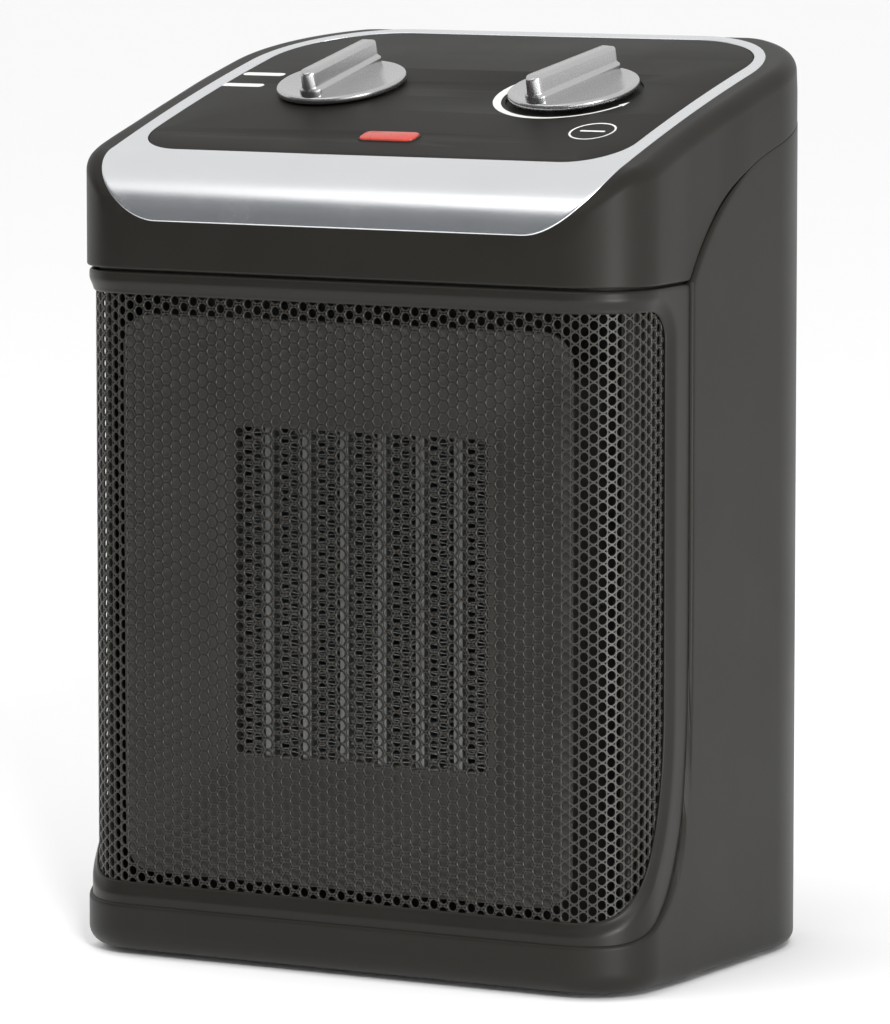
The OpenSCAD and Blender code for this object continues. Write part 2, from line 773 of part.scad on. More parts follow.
module bearing(y0) {
    difference() {
        axial(bearing_r, y0, y0 + bearing_l);
        axial(motor_shaft_r + slip, y0 - 1, y0 + bearing_l + 1);
    }
}
module front_bearing() color("#a9794a") bearing(front_boss_y + 1);
module rear_bearing() color("#a9794a") bearing(rear_bracket_y + 2);

module motor_stator() color("#6d6f72") difference() {
    front = stack_y - 1;
    back = stack_y + stack_t + 1;
    along_y(stack_y, stack_y + stack_t) translate([-stator_half_w, axis_z - stator_low])
        square([2 * stator_half_w, stator_low + window_z + window_h + limb_h]);
    axial(rotor_r + air_gap, front, back);
    span([-window_half_w, front, axis_z + window_z], [window_half_w, back, axis_z + window_z + window_h]);
    for (sx = [-1, 1]) axial(motor_screw_r + 0.1, front, back, sx * motor_screw_x);
}

// The winding round the stack's upper limb
module motor_coil() color("#b4642f") difference() {
    limb_z = axis_z + window_z + window_h;
    half = window_half_w - 0.5;
    over = coil_over;
    back = stack_y + stack_t;
    span([-half, stack_y - over, limb_z - over - 0.3], [half, back + over, limb_z + limb_h + over]);
    span([-half - 5, stack_y - slip, limb_z - slip], [half + 5, back + slip, limb_z + limb_h + slip]);
}

module motor_rotor() color("#8a8c8f") difference() {
    axial(rotor_r, stack_y + 1, stack_y + stack_t - 1);
    axial(motor_shaft_r + press, stack_y - 1, stack_y + stack_t + 1);
}

module motor_shaft() color("#c4c6c9") axial(motor_shaft_r, fan_mid_y - 9, rear_boss_end + 1);

module motor_screws() color("#c0c2c4") for (sx = [-1, 1]) {
    axial(motor_screw_r, strap_y - 1, rear_bracket_y + bracket_t + 3, sx * motor_screw_x);
    axial(m4_head_r, strap_y - 2.4, strap_y, sx * motor_screw_x);
    axial(m4_head_r, rear_bracket_y + bracket_t, rear_bracket_y + bracket_t + 2.6, sx * motor_screw_x);
}

// ---------- back ----------

module rear_grille() color("#33312f") {
    y0 = half_d - 2.6;          // inside face of the housing's back wall, less the seat
    back = half_d - 0.8;        // face of the slats
    frame_t = 1.4;
    clear_w = inlet_w - 2 * inlet_frame;
    clear_h = inlet_h - 2 * inlet_frame;
    r = inlet_corner_r;
    difference() {
        along_y(y0 - frame_t, y0) translate([0, inlet_z]) round_rect(inlet_w + 8, inlet_h + 8, r + 3);
        along_y(y0 - 2, y0 + 1) translate([0, inlet_z]) round_rect(clear_w, clear_h, 4);
    }
    difference() {
        along_y(y0 - eps, half_d - 0.4) translate([0, inlet_z])
            round_rect(inlet_w - 2 * seat, inlet_h - 2 * seat, r - seat);
        along_y(y0 - 1, half_d + 1) translate([0, inlet_z]) round_rect(clear_w, clear_h, 4);
    }
    slats = floor(clear_h / slat_pitch);
    for (i = [0:slats - 1])
        translate([0, (y0 - frame_t + back) / 2, inlet_z + (i - (slats - 1) / 2) * slat_pitch])
            cube([inlet_w - inlet_frame, back - y0 + frame_t, slat_t], center = true);
    for (sx = [-1, 0, 1])
        translate([sx * inlet_w / 4, y0 - frame_t / 2, inlet_z])
            cube([slat_t, frame_t, inlet_h - inlet_frame], center = true);
}

// ---------- safety and wiring ----------

module thermal_cutout() color("#1d1d1d") translate([18, core_y + 12, box_top_z]) {
    cylinder(r = 7.5, h = 5);
    translate([0, 0, 5 - eps]) cylinder(r = 5.5, h = 4);
    for (sx = [-1, 1]) translate([sx * 9 - 3, -2.5, 3]) cube([6, 5, tab_t]);
}

module thermal_fuse() color("#d8b26a") translate([-24, core_y + 12, box_top_z + 2]) {
    rotate([0, 90, 0]) cylinder(r = 2, h = 14, center = true);
    for (sx = [-1, 1]) translate([sx * 12, 0, 0]) rotate([0, 90, 0]) cylinder(r = 0.5, h = 12, center = true);
}

module tip_switch() color("#1b1b1b") translate([tip_x, tip_y, floor_z]) difference() {
    union() {
        span([-tip_body[0] / 2, -tip_body[1] / 2, 0], [tip_body[0] / 2, tip_body[1] / 2, tip_body[2]]);
        for (sx = [-1, 1])
            translate([sx * 5 - tab_w / 2, -tab_t / 2, tip_body[2] - eps]) cube([tab_w, tab_t, 7]);
    }
    translate([0, 0, -1]) cylinder(r = tip_bore_r, h = tip_body[2] - 3);
}

// The pin that the floor lifts while the heater stands upright
module tip_plunger() color("#c9c2b3") translate([tip_x, tip_y, 0]) {
    collar_z = floor_z + tip_travel + 0.5;
    translate([0, 0, 0.3]) cylinder(r = tip_pin_r, h = collar_z + 0.7);
    translate([0, 0, collar_z]) cylinder(r = tip_collar_r, h = 1.5);
    translate([0, 0, collar_z + 1.5 - eps]) cylinder(r = 1.6, h = 4);
}

module tip_spring() color("#b8babd") translate([tip_x, tip_y, 0]) {
    lo = floor_z + tip_travel + 2.6;
    hi = floor_z + tip_body[2] - 4.6;
    coils = 4;
    rise = (hi - lo) / (coils - 1);
    wind_r = 3.6;
    for (i = [0:coils - 1])
        translate([0, 0, lo + i * rise]) rotate_extrude() translate([wind_r, 0]) circle(0.45, $fn = 16);
    for (i = [0:coils - 2])
        rotate(i * 120) translate([wind_r, 0, lo + i * rise]) cylinder(r = 0.4, h = rise, $fn = 16);
}

module terminal_block() color("#ddd8cc") translate([block_x, block_y, floor_z]) difference() {
    span([-block[0] / 2, -block[1] / 2, 0], [block[0] / 2, block[1] / 2, block[2]]);
    for (i = [-1:1]) translate([i * 11, 0, 4]) cylinder(r = 3, h = 10);
}

module cord_gland() color("#171717") translate([gland_x, half_d, gland_z]) rotate([90, 0, 0]) difference() {
    union() {
        translate([0, 0, 0.1]) cylinder(r = gland_r + gland_rim, h = 0.85);
        translate([0, 0, 0.1]) cylinder(r = gland_r, h = gland_l);
        translate([0, 0, wall + seat]) cylinder(r = gland_r + gland_rim, h = 3);
    }
    translate([0, 0, -1]) cylinder(d = cord_bore_d, h = gland_l + 3);
}

module base_screws() color("#b6b8ba") for (sx = [-1, 1], y = boss_ys)
    translate([sx * boss_x, y, base_z + 1.2]) mirror([0, 0, 1]) screw(screw_r, 11, m4_head_r, 1);

module shroud_screws() color("#b6b8ba") {
    shroud_screw_places() screw(screw_r, 5, m4_head_r, 1.8);
    strap_screw_places() screw(screw_r, 5, m4_head_r, 1.8);
}

module rubber_feet() color("#1a1a1a") for (sx = [-1, 1], sy = [-1, 1])
    translate([sx * foot_x, sy * foot_y, 0]) {
        cylinder(r = foot_r, h = foot_h);
        cylinder(r = foot_pin_r, h = floor_z + 0.4);
    }

module wiring() color("#b3362b") {
    start_z = floor_z + 4.2;    // inside the terminal block's clamps
    switch_y = panel_y + knob_v * cos(panel_tilt);
    switch_z = panel_z + knob_v * sin(panel_tilt) - head_wall - 34;
    // supply from the terminal block up the left side to the selector switch
    wire([[block_x - 11, block_y, start_z], [block_x - 11, block_y, floor_z + 22],
        [-wire_lane_x, wire_lane_y, floor_z + 22], [-wire_lane_x, wire_lane_y, switch_z - 10],
        [-knob_x - 6, switch_y, switch_z - 4]], wire_r);
    // neutral from the terminal block up the right side to the thermostat
    wire([[block_x + 11, block_y, start_z], [block_x + 11, block_y, floor_z + 26],
        [wire_lane_x, wire_lane_y, floor_z + 26], [wire_lane_x, wire_lane_y, seam_z - 8],
        [knob_x + 16, wire_lane_y, seam_z + 4]], wire_r);
}

rear_housing();
base_plate();
front_bezel();
front_grille();
head_cap();
control_trim();
control_panel();
selector_knob();
selector_shaft();
selector_switch();
thermostat_knob();
thermostat_shaft();
thermostat_body();
thermostat_blades();
indicator_lens();
indicator_lamp();
lamp_holder();
air_duct();
heater_box();
heater_fins();
heater_bars();
heater_end_caps();
heater_terminals();
fan_shroud();
fan_impeller();
motor_mount();
front_bracket();
rear_bracket();
front_bearing();
rear_bearing();
motor_stator();
motor_coil();
motor_rotor();
motor_shaft();
motor_screws();
rear_grille();
thermal_cutout();
thermal_fuse();
tip_switch();
tip_plunger();
tip_spring();
terminal_block();
cord_gland();
base_screws();
shroud_screws();
rubber_feet();
wiring();
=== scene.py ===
"""Looks of a compact ceramic fan heater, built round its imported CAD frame."""

import json
import math

import bmesh
import bpy
import numpy as np
from mathutils import Matrix, Vector


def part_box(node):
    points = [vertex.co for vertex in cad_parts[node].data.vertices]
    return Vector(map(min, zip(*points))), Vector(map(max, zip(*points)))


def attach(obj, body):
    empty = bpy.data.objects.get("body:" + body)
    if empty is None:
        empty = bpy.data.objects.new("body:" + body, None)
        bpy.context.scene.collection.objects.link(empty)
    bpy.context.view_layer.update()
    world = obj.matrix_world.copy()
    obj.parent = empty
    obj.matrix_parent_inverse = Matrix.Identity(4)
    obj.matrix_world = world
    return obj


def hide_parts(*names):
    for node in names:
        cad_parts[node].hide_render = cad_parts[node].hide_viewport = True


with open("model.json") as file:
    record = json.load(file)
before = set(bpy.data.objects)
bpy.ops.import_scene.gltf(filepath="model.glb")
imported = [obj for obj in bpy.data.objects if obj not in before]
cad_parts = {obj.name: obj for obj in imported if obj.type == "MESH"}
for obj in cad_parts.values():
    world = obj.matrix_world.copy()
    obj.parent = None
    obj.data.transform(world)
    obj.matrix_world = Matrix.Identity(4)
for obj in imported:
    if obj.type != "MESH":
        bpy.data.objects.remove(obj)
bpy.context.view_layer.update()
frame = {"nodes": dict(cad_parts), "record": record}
nodes = frame["nodes"]
MM = 0.001


def node_box(name):
    """Lowest and highest corners of a CAD node, in millimetres."""
    return [np.array(v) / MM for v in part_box(name)]


# ---------- sizes in millimetres, from the frame and the moulding's own radii ----------

body_lo, body_hi = node_box("rear_housing")
HALF_W, HALF_D = body_hi[:2]
BASE_Z = body_lo[2]
TOP_Z = node_box("head_cap")[1][2]
FRONT_R = 22.0          # plan radius of the front corners
BACK_R = 46.0           # plan radius of the back corners
TILT = math.radians(14.6)
ROLL_R = 22.0           # front face into the panel
BACK_EDGE_R = 8.0
HEAD_FRONT_H = 13.0     # upright front between seam and roll
EDGE_R = 5.0            # soft edge between the head's sides and its top
SKIN = 2.0              # wall of the visible mouldings
BAND_TOP = 16.0
BODY_MID = 107.0        # height near the body's middle, to tell inside from outside
STEP_Y = -HALF_D + 41.0
STEP_ARC_R = 80.0
STEP_ARC_START = math.radians(57)
FILLETS = 6.5, 5.0, 3.0  # lower edge of the body: front, front corner, sides and back

ROLL_Y = -HALF_D + ROLL_R
BACK_Y = HALF_D - BACK_EDGE_R
BACK_Z = TOP_Z - BACK_EDGE_R
ROLL_Z = (BACK_Z - (ROLL_R - BACK_EDGE_R) * math.cos(TILT)
          - math.tan(TILT) * (BACK_Y - ROLL_Y + (ROLL_R - BACK_EDGE_R) * math.sin(TILT)))
SEAM_Z = ROLL_Z - HEAD_FRONT_H
PANEL_Y = ROLL_Y - ROLL_R * math.sin(TILT)
PANEL_Z = ROLL_Z + ROLL_R * math.cos(TILT)
SLOPE_LEN = (BACK_Y - BACK_EDGE_R * math.sin(TILT) - PANEL_Y) / math.cos(TILT)
ARC_Y = STEP_Y + STEP_ARC_R * math.sin(STEP_ARC_START)
ARC_Z = SEAM_Z - STEP_ARC_R * math.cos(STEP_ARC_START)

# Window of the bezel, perforated sheet behind it and its round holes
WINDOW_LO = BAND_TOP + 6.0
WINDOW_HI = SEAM_Z - 7.0
WINDOW_BACK_Y = STEP_Y - 12.0
WINDOW_R_HI = 9.0
GRILLE_INSET = 2.9
GRILLE_T = 0.7
HOLE_PITCH = 3.5
HOLE_R = 1.36
HOLE_SIDES = 12
HOLE_CHAMFER = 0.12

# Trim and panel
TRIM_VIEW = math.radians(40)
TRIM_HALF_W = HALF_W - 9.0
TRIM_BACK_Y = HALF_D - 8.5
TRIM_RISE = 1.4
TRIM_FRONT_R, TRIM_BACK_R = 24.0, 36.0
TRIM_RING = 4.7
PANEL_LEN = (HALF_D - PANEL_Y) / math.cos(TILT) - 8.5 - TRIM_RING
PANEL_HALF_W = TRIM_HALF_W - TRIM_RING
PANEL_FRONT_R, PANEL_BACK_R = 17.0, TRIM_BACK_R - TRIM_RING
PANEL_RECESS = 0.4
PANEL_GAP = 0.12        # clearance between the panel and the trim
PANEL_UNDER = -2.2
PANEL_STRIP = 3.0       # the panel bends over the crown in strips this long

# Controls, in the panel's own frame: x across, v up the slope, n outwards
KNOB_X, KNOB_V = 38.5, 57.0
SEAT_R = 6.0            # small seat under the left knob
LENS_V = 15.6
LENS_W, LENS_H, LENS_R = 18.0, 6.5, 2.3
RIM_W, RIM_H, RIM_R = 18.8, 7.3, 2.75       # rim round the lens
SLOT_W, SLOT_H, SLOT_R = 18.9, 7.4, 2.8     # slot in the panel for the rim
ICON_X, ICON_V, ICON_R, ICON_LINE = 60.5, 25.5, 6.9, 0.6
MARK_X, MARK_VS = -71.2, (67.8, 56.8)       # two setting bars by the left knob
MARK_W, MARK_H, MARK_R = 14.0, 2.9, 1.4
CRESCENT_R = 21.3
CRESCENT_FROM, CRESCENT_TO, ARROW_TO = 145, 290, 335
CRESCENT_WIDE, CRESCENT_THIN, ARROW_THICK = 3.6, 0.7, 0.8
ARROW_TIP, ARROW_BARB = 3.5, 1.3

# Small offsets and edges
CROWN = 1.8             # the sloping top bulges by this much half way up
FAINT, FADE_START, FADE_END = 0.12, -14.0, 8.0     # the side joint fades between these depths
FLANK_TAPER = 0.5       # head's flanks stand in from the wrap
HEAD_SINK = 0.35        # the head's skin lies this far inside the trim's face
TRIM_SINK = 3.2         # how far the head dives under the trim
DIVE_START, DIVE_END = 1.7, 3.2     # depths inside the trim's outline where that dive starts and ends
HEAD_RIM_R = 0.7        # lower edge of the head
SEAM_GAP = 0.3          # joint between the seam's height and the head
EDGE_GAP = 0.3          # joint between the seam's height and the housing
ANCHOR = 12.0           # the head's rays start this far inside the outline
TRIM_LIP_R = 0.6
LIP_SIDE_INSET, LIP_FRONT_INSET, LIP_REACH, LIP_T = 2.5, 4.0, 3.5, 1.0      # tongue behind the seam
WELL_R, WELL_FLOOR = 20.0, -1.3     # well in the panel round the right knob
WRAP_EDGE_R = 1.0       # visible front and upper edge of the wrap
BEZEL_INSET, BEZEL_T = 1.0, 1.3
BEAD_SINK, BEAD_W = 1.2, 4.2        # the bezel's bead falls by this much over this width
BEZEL_LIP = 0.35
BEZEL_TOP = SEAM_Z - 0.35
TUCK = 1.5              # the bezel runs down behind the band by this much
BAR_W, BAR_HALF, BAR_END = 7.8, 18.9, 2.6
BAR_FRONT_H, BAR_BACK_H, BAR_END_FALL, BAR_FOOT = 9.2, 8.0, 1.1, 1.2
SWEEP_LEN, SWEEP_TOP, SWEEP_POWER = 46.0, 118.0, 3.4     # how the band sweeps up into the step
WINDOW_SWEEP_W, WINDOW_SWEEP_H, WINDOW_POWER = 34.0, 60.0, 2.3
SELECTOR_TURN, THERMOSTAT_TURN = 2.0, 12.0      # degrees at rest, clockwise
MOUTH_HALF_W, MOUTH_LO, MOUTH_HI, MOUTH_Y, THROAT_Y = 73.0, 25.0, 187.0, -66.2, -57.0
DUCT_T, DUCT_POWER = 1.2, 1.25
FIN_COLUMNS, FIN_BAR_W, FIN_FOLD, FIN_T = 7, 2.8, 2.1, 0.28
LINER_FRONT_Y, LINER_INSET, LINER_T = -60.0, 6.5, 1.2
LINER_RIB, LINER_RIB_W, LINER_RIBS = 1.0, 1.2, (6, 17)
INLET_EDGE, INLET_R, GLAND_HOLE_R = 4.0, 8.0, 8.1
BASE_T, SCREW_HEAD_R, SCREW_HOLE_R, TIP_HOLE_R = 2.0, 3.4, 3.7, 4.4
FOOT_R = 7.0


# ---------- outline helpers ----------

LINE_A = HALF_W - FRONT_R                       # arc lengths along half of the plan outline
LINE_B = LINE_A + FRONT_R * math.pi / 2
LINE_C = LINE_B + 2 * HALF_D - FRONT_R - BACK_R
LINE_D = LINE_C + BACK_R * math.pi / 2
LINE_END = LINE_D + HALF_W - BACK_R


def plan_point(s, inset):
    """(x, y) and outward normal at arc length s from the middle of the front, both sides signed."""
    s = np.asarray(s, float)
    side = np.where(s < 0, -1.0, 1.0)
    a = np.abs(s)
    angle = np.clip((a - LINE_A) / FRONT_R, 0, math.pi / 2)
    angle = angle + np.clip((a - LINE_C) / BACK_R, 0, math.pi / 2)
    nx, ny = np.sin(angle), -np.cos(angle)
    x = np.where(a < LINE_A, a, np.where(a < LINE_B, LINE_A + FRONT_R * nx, np.where(
        a < LINE_C, HALF_W, np.where(a < LINE_D, HALF_W - BACK_R + BACK_R * nx, LINE_END - a))))
    y = np.where(a < LINE_A, -HALF_D, np.where(a < LINE_B, ROLL_Y + FRONT_R * ny, np.where(
        a < LINE_C, ROLL_Y + a - LINE_B, np.where(a < LINE_D, HALF_D - BACK_R + BACK_R * ny, HALF_D))))
    return np.stack([side * (x - nx * inset), y - ny * inset], -1), np.stack([side * nx, ny], -1)


_table_s = np.linspace(LINE_A, LINE_D, 4000)
_table_y = plan_point(_table_s, 0)[0][:, 1]


def length_at(y):
    """Arc length from the middle of the front to the place on the side with this y."""
    return np.interp(y, _table_y, _table_s)


S_STEP = float(length_at(STEP_Y))
S_WINDOW = length_at(WINDOW_BACK_Y)
_sweep_angle = np.linspace(0, math.pi / 2, 400)
_sweep_s = SWEEP_LEN * (1 - np.cos(_sweep_angle) ** (2 / SWEEP_POWER))
_sweep_k = np.sin(_sweep_angle) ** (2 / SWEEP_POWER)


def seam_depth(y):
    """Share of the step and joint that is left at depth y: the joint closes towards the back."""
    return 1 - (1 - FAINT) * smooth(y, FADE_START, FADE_END)


def step_line(y):
    """Height of the head's lower edge at depth y: level, a rising arc, then along the slope."""
    y = np.asarray(y, float)
    arc = ARC_Z + np.sqrt(np.maximum(STEP_ARC_R ** 2 - (y - ARC_Y) ** 2, 0))
    end_y = ARC_Y - STEP_ARC_R * math.sin(TILT)
    line = ARC_Z + STEP_ARC_R * math.cos(TILT) + (y - end_y) * math.tan(TILT)
    return np.where(y < STEP_Y, SEAM_Z, np.where(y < end_y, arc, line))


def band_line(s):
    """Height of the base band's upper edge at arc length s: level, then a sweep up into the step."""
    back = np.clip(S_STEP - np.abs(s), 0, None)
    return SWEEP_TOP - (SWEEP_TOP - BAND_TOP) * np.interp(back, _sweep_s, _sweep_k)


def crown(v):
    """Height of the sloping top over its own chord, v up the slope."""
    u = np.clip(np.asarray(v, float) / SLOPE_LEN, 0, 1)
    return CROWN * 4 * u * (1 - u)


P_PANEL = ROLL_R * (math.pi / 2 - TILT)         # arc lengths along the head's side outline
P_BACK = P_PANEL + SLOPE_LEN
P_END = P_BACK + BACK_EDGE_R * (math.pi / 2 + TILT)


def profile(p):
    """Side outline of the head by arc length p from the start of the roll: (y, z), outward (ny, nz)."""
    p = np.asarray(p, float)
    turn = np.clip(p / ROLL_R, 0, math.pi / 2 - TILT)
    turn = turn + np.clip((p - P_PANEL - SLOPE_LEN) / BACK_EDGE_R, 0, math.pi / 2 + TILT)
    ny, nz = -np.cos(turn), np.sin(turn)
    v = p - P_PANEL
    y = np.where(v < 0, ROLL_Y + ROLL_R * ny, np.where(
        v < SLOPE_LEN, PANEL_Y + v * math.cos(TILT), BACK_Y + BACK_EDGE_R * ny))
    z = np.where(v < 0, ROLL_Z + ROLL_R * nz, np.where(
        v < SLOPE_LEN, PANEL_Z + v * math.sin(TILT), BACK_Z + BACK_EDGE_R * nz))
    z = np.where(p < 0, ROLL_Z + p, z)
    return y - math.sin(TILT) * crown(v), z + math.cos(TILT) * crown(v), ny, nz


def on_head(x, p, h):
    """3-D points at height h over the head's top surface, unrolled to (x, p)."""
    y, z, ny, nz = profile(p)
    return np.stack([x + 0 * y, y + ny * h, z + nz * h], -1)


def on_panel(x, v, n):
    """3-D points over the crowned panel: x across, v up the slope, n outwards."""
    return on_slope(x, v, np.asarray(n, float) + crown(v))


def on_slope(x, v, n):
    """3-D points in the flat frame of the slope."""
    x, v, n = np.broadcast_arrays(np.asarray(x, float), v, n)
    return np.stack([x, PANEL_Y + v * math.cos(TILT) - n * math.sin(TILT),
                     PANEL_Z + v * math.sin(TILT) + n * math.cos(TILT)], -1)


def arc(cx, cy, r, a, b, steps):
    """Points of an arc between two angles in degrees."""
    t = np.radians(np.linspace(a, b, steps + 1))
    return np.stack([cx + r * np.cos(t), cy + r * np.sin(t)], -1)


def tab_outline(w, lo, hi, r_lo, r_hi, steps=24):
    """Closed outline with its own front and back corner radii, anticlockwise from the right front corner."""
    return np.concatenate([
        arc(w - r_lo, lo + r_lo, r_lo, -90, 0, steps), arc(w - r_hi, hi - r_hi, r_hi, 0, 90, steps),
        arc(-w + r_hi, hi - r_hi, r_hi, 90, 180, steps), arc(-w + r_lo, lo + r_lo, r_lo, 180, 270, steps)])


def dense(loop, gap):
    """The closed loop with points added so that none are further apart than gap."""
    out = []
    for a, b in zip(loop, np.roll(loop, -1, axis=0)):
        n = max(1, int(np.ceil(np.linalg.norm(b - a) / gap)))
        out.append(a + (b - a) * np.arange(n)[:, None] / n)
    return np.concatenate(out)


def at_angles(loop, centre, angles):
    """Where rays from the centre at the given angles cross the loop."""
    d = dense(loop, 0.4) - centre
    a = np.arctan2(d[:, 1], d[:, 0])
    order = np.argsort(a)
    a, r = a[order], np.hypot(d[:, 0], d[:, 1])[order]
    a = np.concatenate([a - 2 * math.pi, a, a + 2 * math.pi])
    radius = np.interp(angles, a, np.tile(r, 3))
    return centre + radius[:, None] * np.stack([np.cos(angles), np.sin(angles)], -1)


def edge_distance(points, line):
    """Distance of each 2-D point from an open polyline."""
    a, b = line[:-1], line[1:]
    ab = b - a
    best = np.full(len(points), 1e9)
    for i in range(len(a)):
        t = np.clip(((points - a[i]) @ ab[i]) / max(ab[i] @ ab[i], 1e-12), 0, 1)
        best = np.minimum(best, np.linalg.norm(points - (a[i] + t[:, None] * ab[i]), axis=1))
    return best


def rounding(distance, r):
    """How far a surface falls at a distance from its edge, for an edge radius r."""
    d = np.minimum(distance, r)
    return r - np.sqrt(np.maximum(r * r - (r - d) ** 2, 0))


def smooth(x, a, b):
    """Smooth step from 0 at a to 1 at b."""
    t = np.clip((np.asarray(x, float) - a) / (b - a), 0, 1)
    return t * t * (3 - 2 * t)


# ---------- mesh helpers ----------

def grid_faces(rows, columns, closed=False):
    """Quads of a grid of points, its last column joined to the first when closed."""
    faces = []
    for k in range(rows - 1):
        for i in range(columns if closed else columns - 1):
            j = (i + 1) % columns
            faces.append((k * columns + i, k * columns + j, (k + 1) * columns + j, (k + 1) * columns + i))
    return faces


def outward(verts, faces, centre):
    """The faces, turned if most of them look towards the centre."""
    v = np.asarray(verts)
    total = 0.0
    for f in faces[:: max(1, len(faces) // 800)]:
        n = np.cross(v[f[1]] - v[f[0]], v[f[2]] - v[f[0]])
        total += float(n @ (v[list(f)].mean(0) - centre))
    return faces if total > 0 else [tuple(reversed(f)) for f in faces]


def make(name, verts, faces, material, solid=None, sharp=38, recalc=False):
    """A smooth-shaded mesh object from points in millimetres."""
    mesh = bpy.data.meshes.new(name)
    mesh.from_pydata((np.asarray(verts) * MM).tolist(), [], [tuple(int(i) for i in f) for f in faces])
    bm = bmesh.new()
    bm.from_mesh(mesh)
    bmesh.ops.remove_doubles(bm, verts=bm.verts, dist=2e-6)
    bmesh.ops.dissolve_degenerate(bm, dist=1e-7, edges=bm.edges)
    if recalc:
        bmesh.ops.recalc_face_normals(bm, faces=bm.faces)
    bm.to_mesh(mesh)
    bm.free()
    obj = bpy.data.objects.new(name, mesh)
    bpy.context.scene.collection.objects.link(obj)
    mesh.materials.append(material)
    if solid:
        m = obj.modifiers.new("wall", "SOLIDIFY")
        m.thickness, m.offset, m.use_even_offset = solid * MM, -1, False
        settle(obj)
    shade(obj, sharp)
    return obj


def settle(obj):
    """Applies the object's modifiers to its mesh."""
    graph = bpy.context.evaluated_depsgraph_get()
    mesh = bpy.data.meshes.new_from_object(obj.evaluated_get(graph))
    old = obj.data
    obj.modifiers.clear()
    obj.data = mesh
    mesh.name = obj.name
    bpy.data.meshes.remove(old)


def carve(obj, *cutters):
    """Cuts the cutters from the object and removes them."""
    for c in cutters:
        m = obj.modifiers.new("cut", "BOOLEAN")
        m.operation, m.solver, m.object = "DIFFERENCE", "EXACT", c
    settle(obj)
    for c in cutters:
        bpy.data.objects.remove(c)


def shade(obj, sharp=38):
    obj.data.shade_smooth()
    obj.data.set_sharp_from_angle(angle=math.radians(sharp))


def soften(obj, width, angle=40):
    """Adds a bevel on the edges sharper than the angle."""
    m = obj.modifiers.new("soft_edge", "BEVEL")
    m.width, m.segments, m.limit_method, m.angle_limit = width * MM, 2, "ANGLE", math.radians(angle)


def bevel(obj, width, angle=40):
    soften(obj, width, angle)
    settle(obj)
    shade(obj)
    return obj


def prism(name, outline, low, high, place, material):
    """A closed prism on a 2-D outline, with place(x, y, height) giving its 3-D points."""
    o = np.asarray(outline)
    n = len(o)
    verts = np.concatenate([place(o[:, 0], o[:, 1], low), place(o[:, 0], o[:, 1], high)])
    faces = [tuple(range(n - 1, -1, -1)), tuple(range(n, 2 * n))]
    faces += [(i, (i + 1) % n, n + (i + 1) % n, n + i) for i in range(n)]
    return make(name, verts, faces, material, recalc=True)


def mount(obj, slot, *hides, body="housing"):
    """Puts a finished piece on its body and hides the CAD nodes it stands for."""
    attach(obj, body)
    if hides:
        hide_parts(*hides)


# ---------- materials ----------

def put(node, **values):
    """Sets a node's inputs, their names written with underscores."""
    for key, value in values.items():
        node.inputs[key.replace("_", " ")].default_value = value


def material(name, colour, rough, metallic=0.0, spread=0.1, rough_spread=0.05, grain=0.0, grain_mm=0.5,
             blotch_mm=25.0, stretch=(1, 1, 1), specular=0.5, coat=0.0, **sockets):
    """Procedural finish: slow blotches and fine grain vary colour, roughness and relief. Sizes in mm."""
    m = bpy.data.materials.new(name)
    m.use_nodes = True
    add, link = m.node_tree.nodes.new, m.node_tree.links.new
    bsdf = m.node_tree.nodes["Principled BSDF"]
    where, scale = add("ShaderNodeTexCoord"), add("ShaderNodeMapping")
    slow, fine, both = add("ShaderNodeTexNoise"), add("ShaderNodeTexNoise"), add("ShaderNodeMath")
    put(scale, Scale=stretch)
    put(slow, Scale=1000 / blotch_mm, Detail=3)
    put(fine, Scale=1000 / grain_mm, Detail=2)
    link(where.outputs["Object"], scale.inputs["Vector"])
    for i, noise in enumerate((slow, fine)):
        link(scale.outputs["Vector"], noise.inputs["Vector"])
        link(noise.outputs["Fac"], both.inputs[i])

    def vary(low, high):
        node = add("ShaderNodeMapRange")
        put(node, From_Min=0.6, From_Max=1.4, To_Min=low, To_Max=high)
        link(both.outputs[0], node.inputs["Value"])
        return node.outputs["Result"]

    paint = add("ShaderNodeVectorMath")
    paint.operation = "SCALE"
    paint.inputs[0].default_value = colour
    link(vary(1 - spread, 1 + spread), paint.inputs["Scale"])
    link(paint.outputs["Vector"], bsdf.inputs["Base Color"])
    link(vary(max(rough - rough_spread, 0.02), min(rough + rough_spread, 1)), bsdf.inputs["Roughness"])
    if grain:
        bump = add("ShaderNodeBump")
        put(bump, Strength=1, Distance=grain * MM)
        link(fine.outputs["Fac"], bump.inputs["Height"])
        link(bump.outputs["Normal"], bsdf.inputs["Normal"])
    put(bsdf, Metallic=metallic, Specular_IOR_Level=specular, Coat_Weight=coat, Coat_Roughness=0.1, **sockets)
    return m


MATS = {}


def finish(name, colour, rough, **look):
    MATS[name] = material(name, colour, rough, **look)


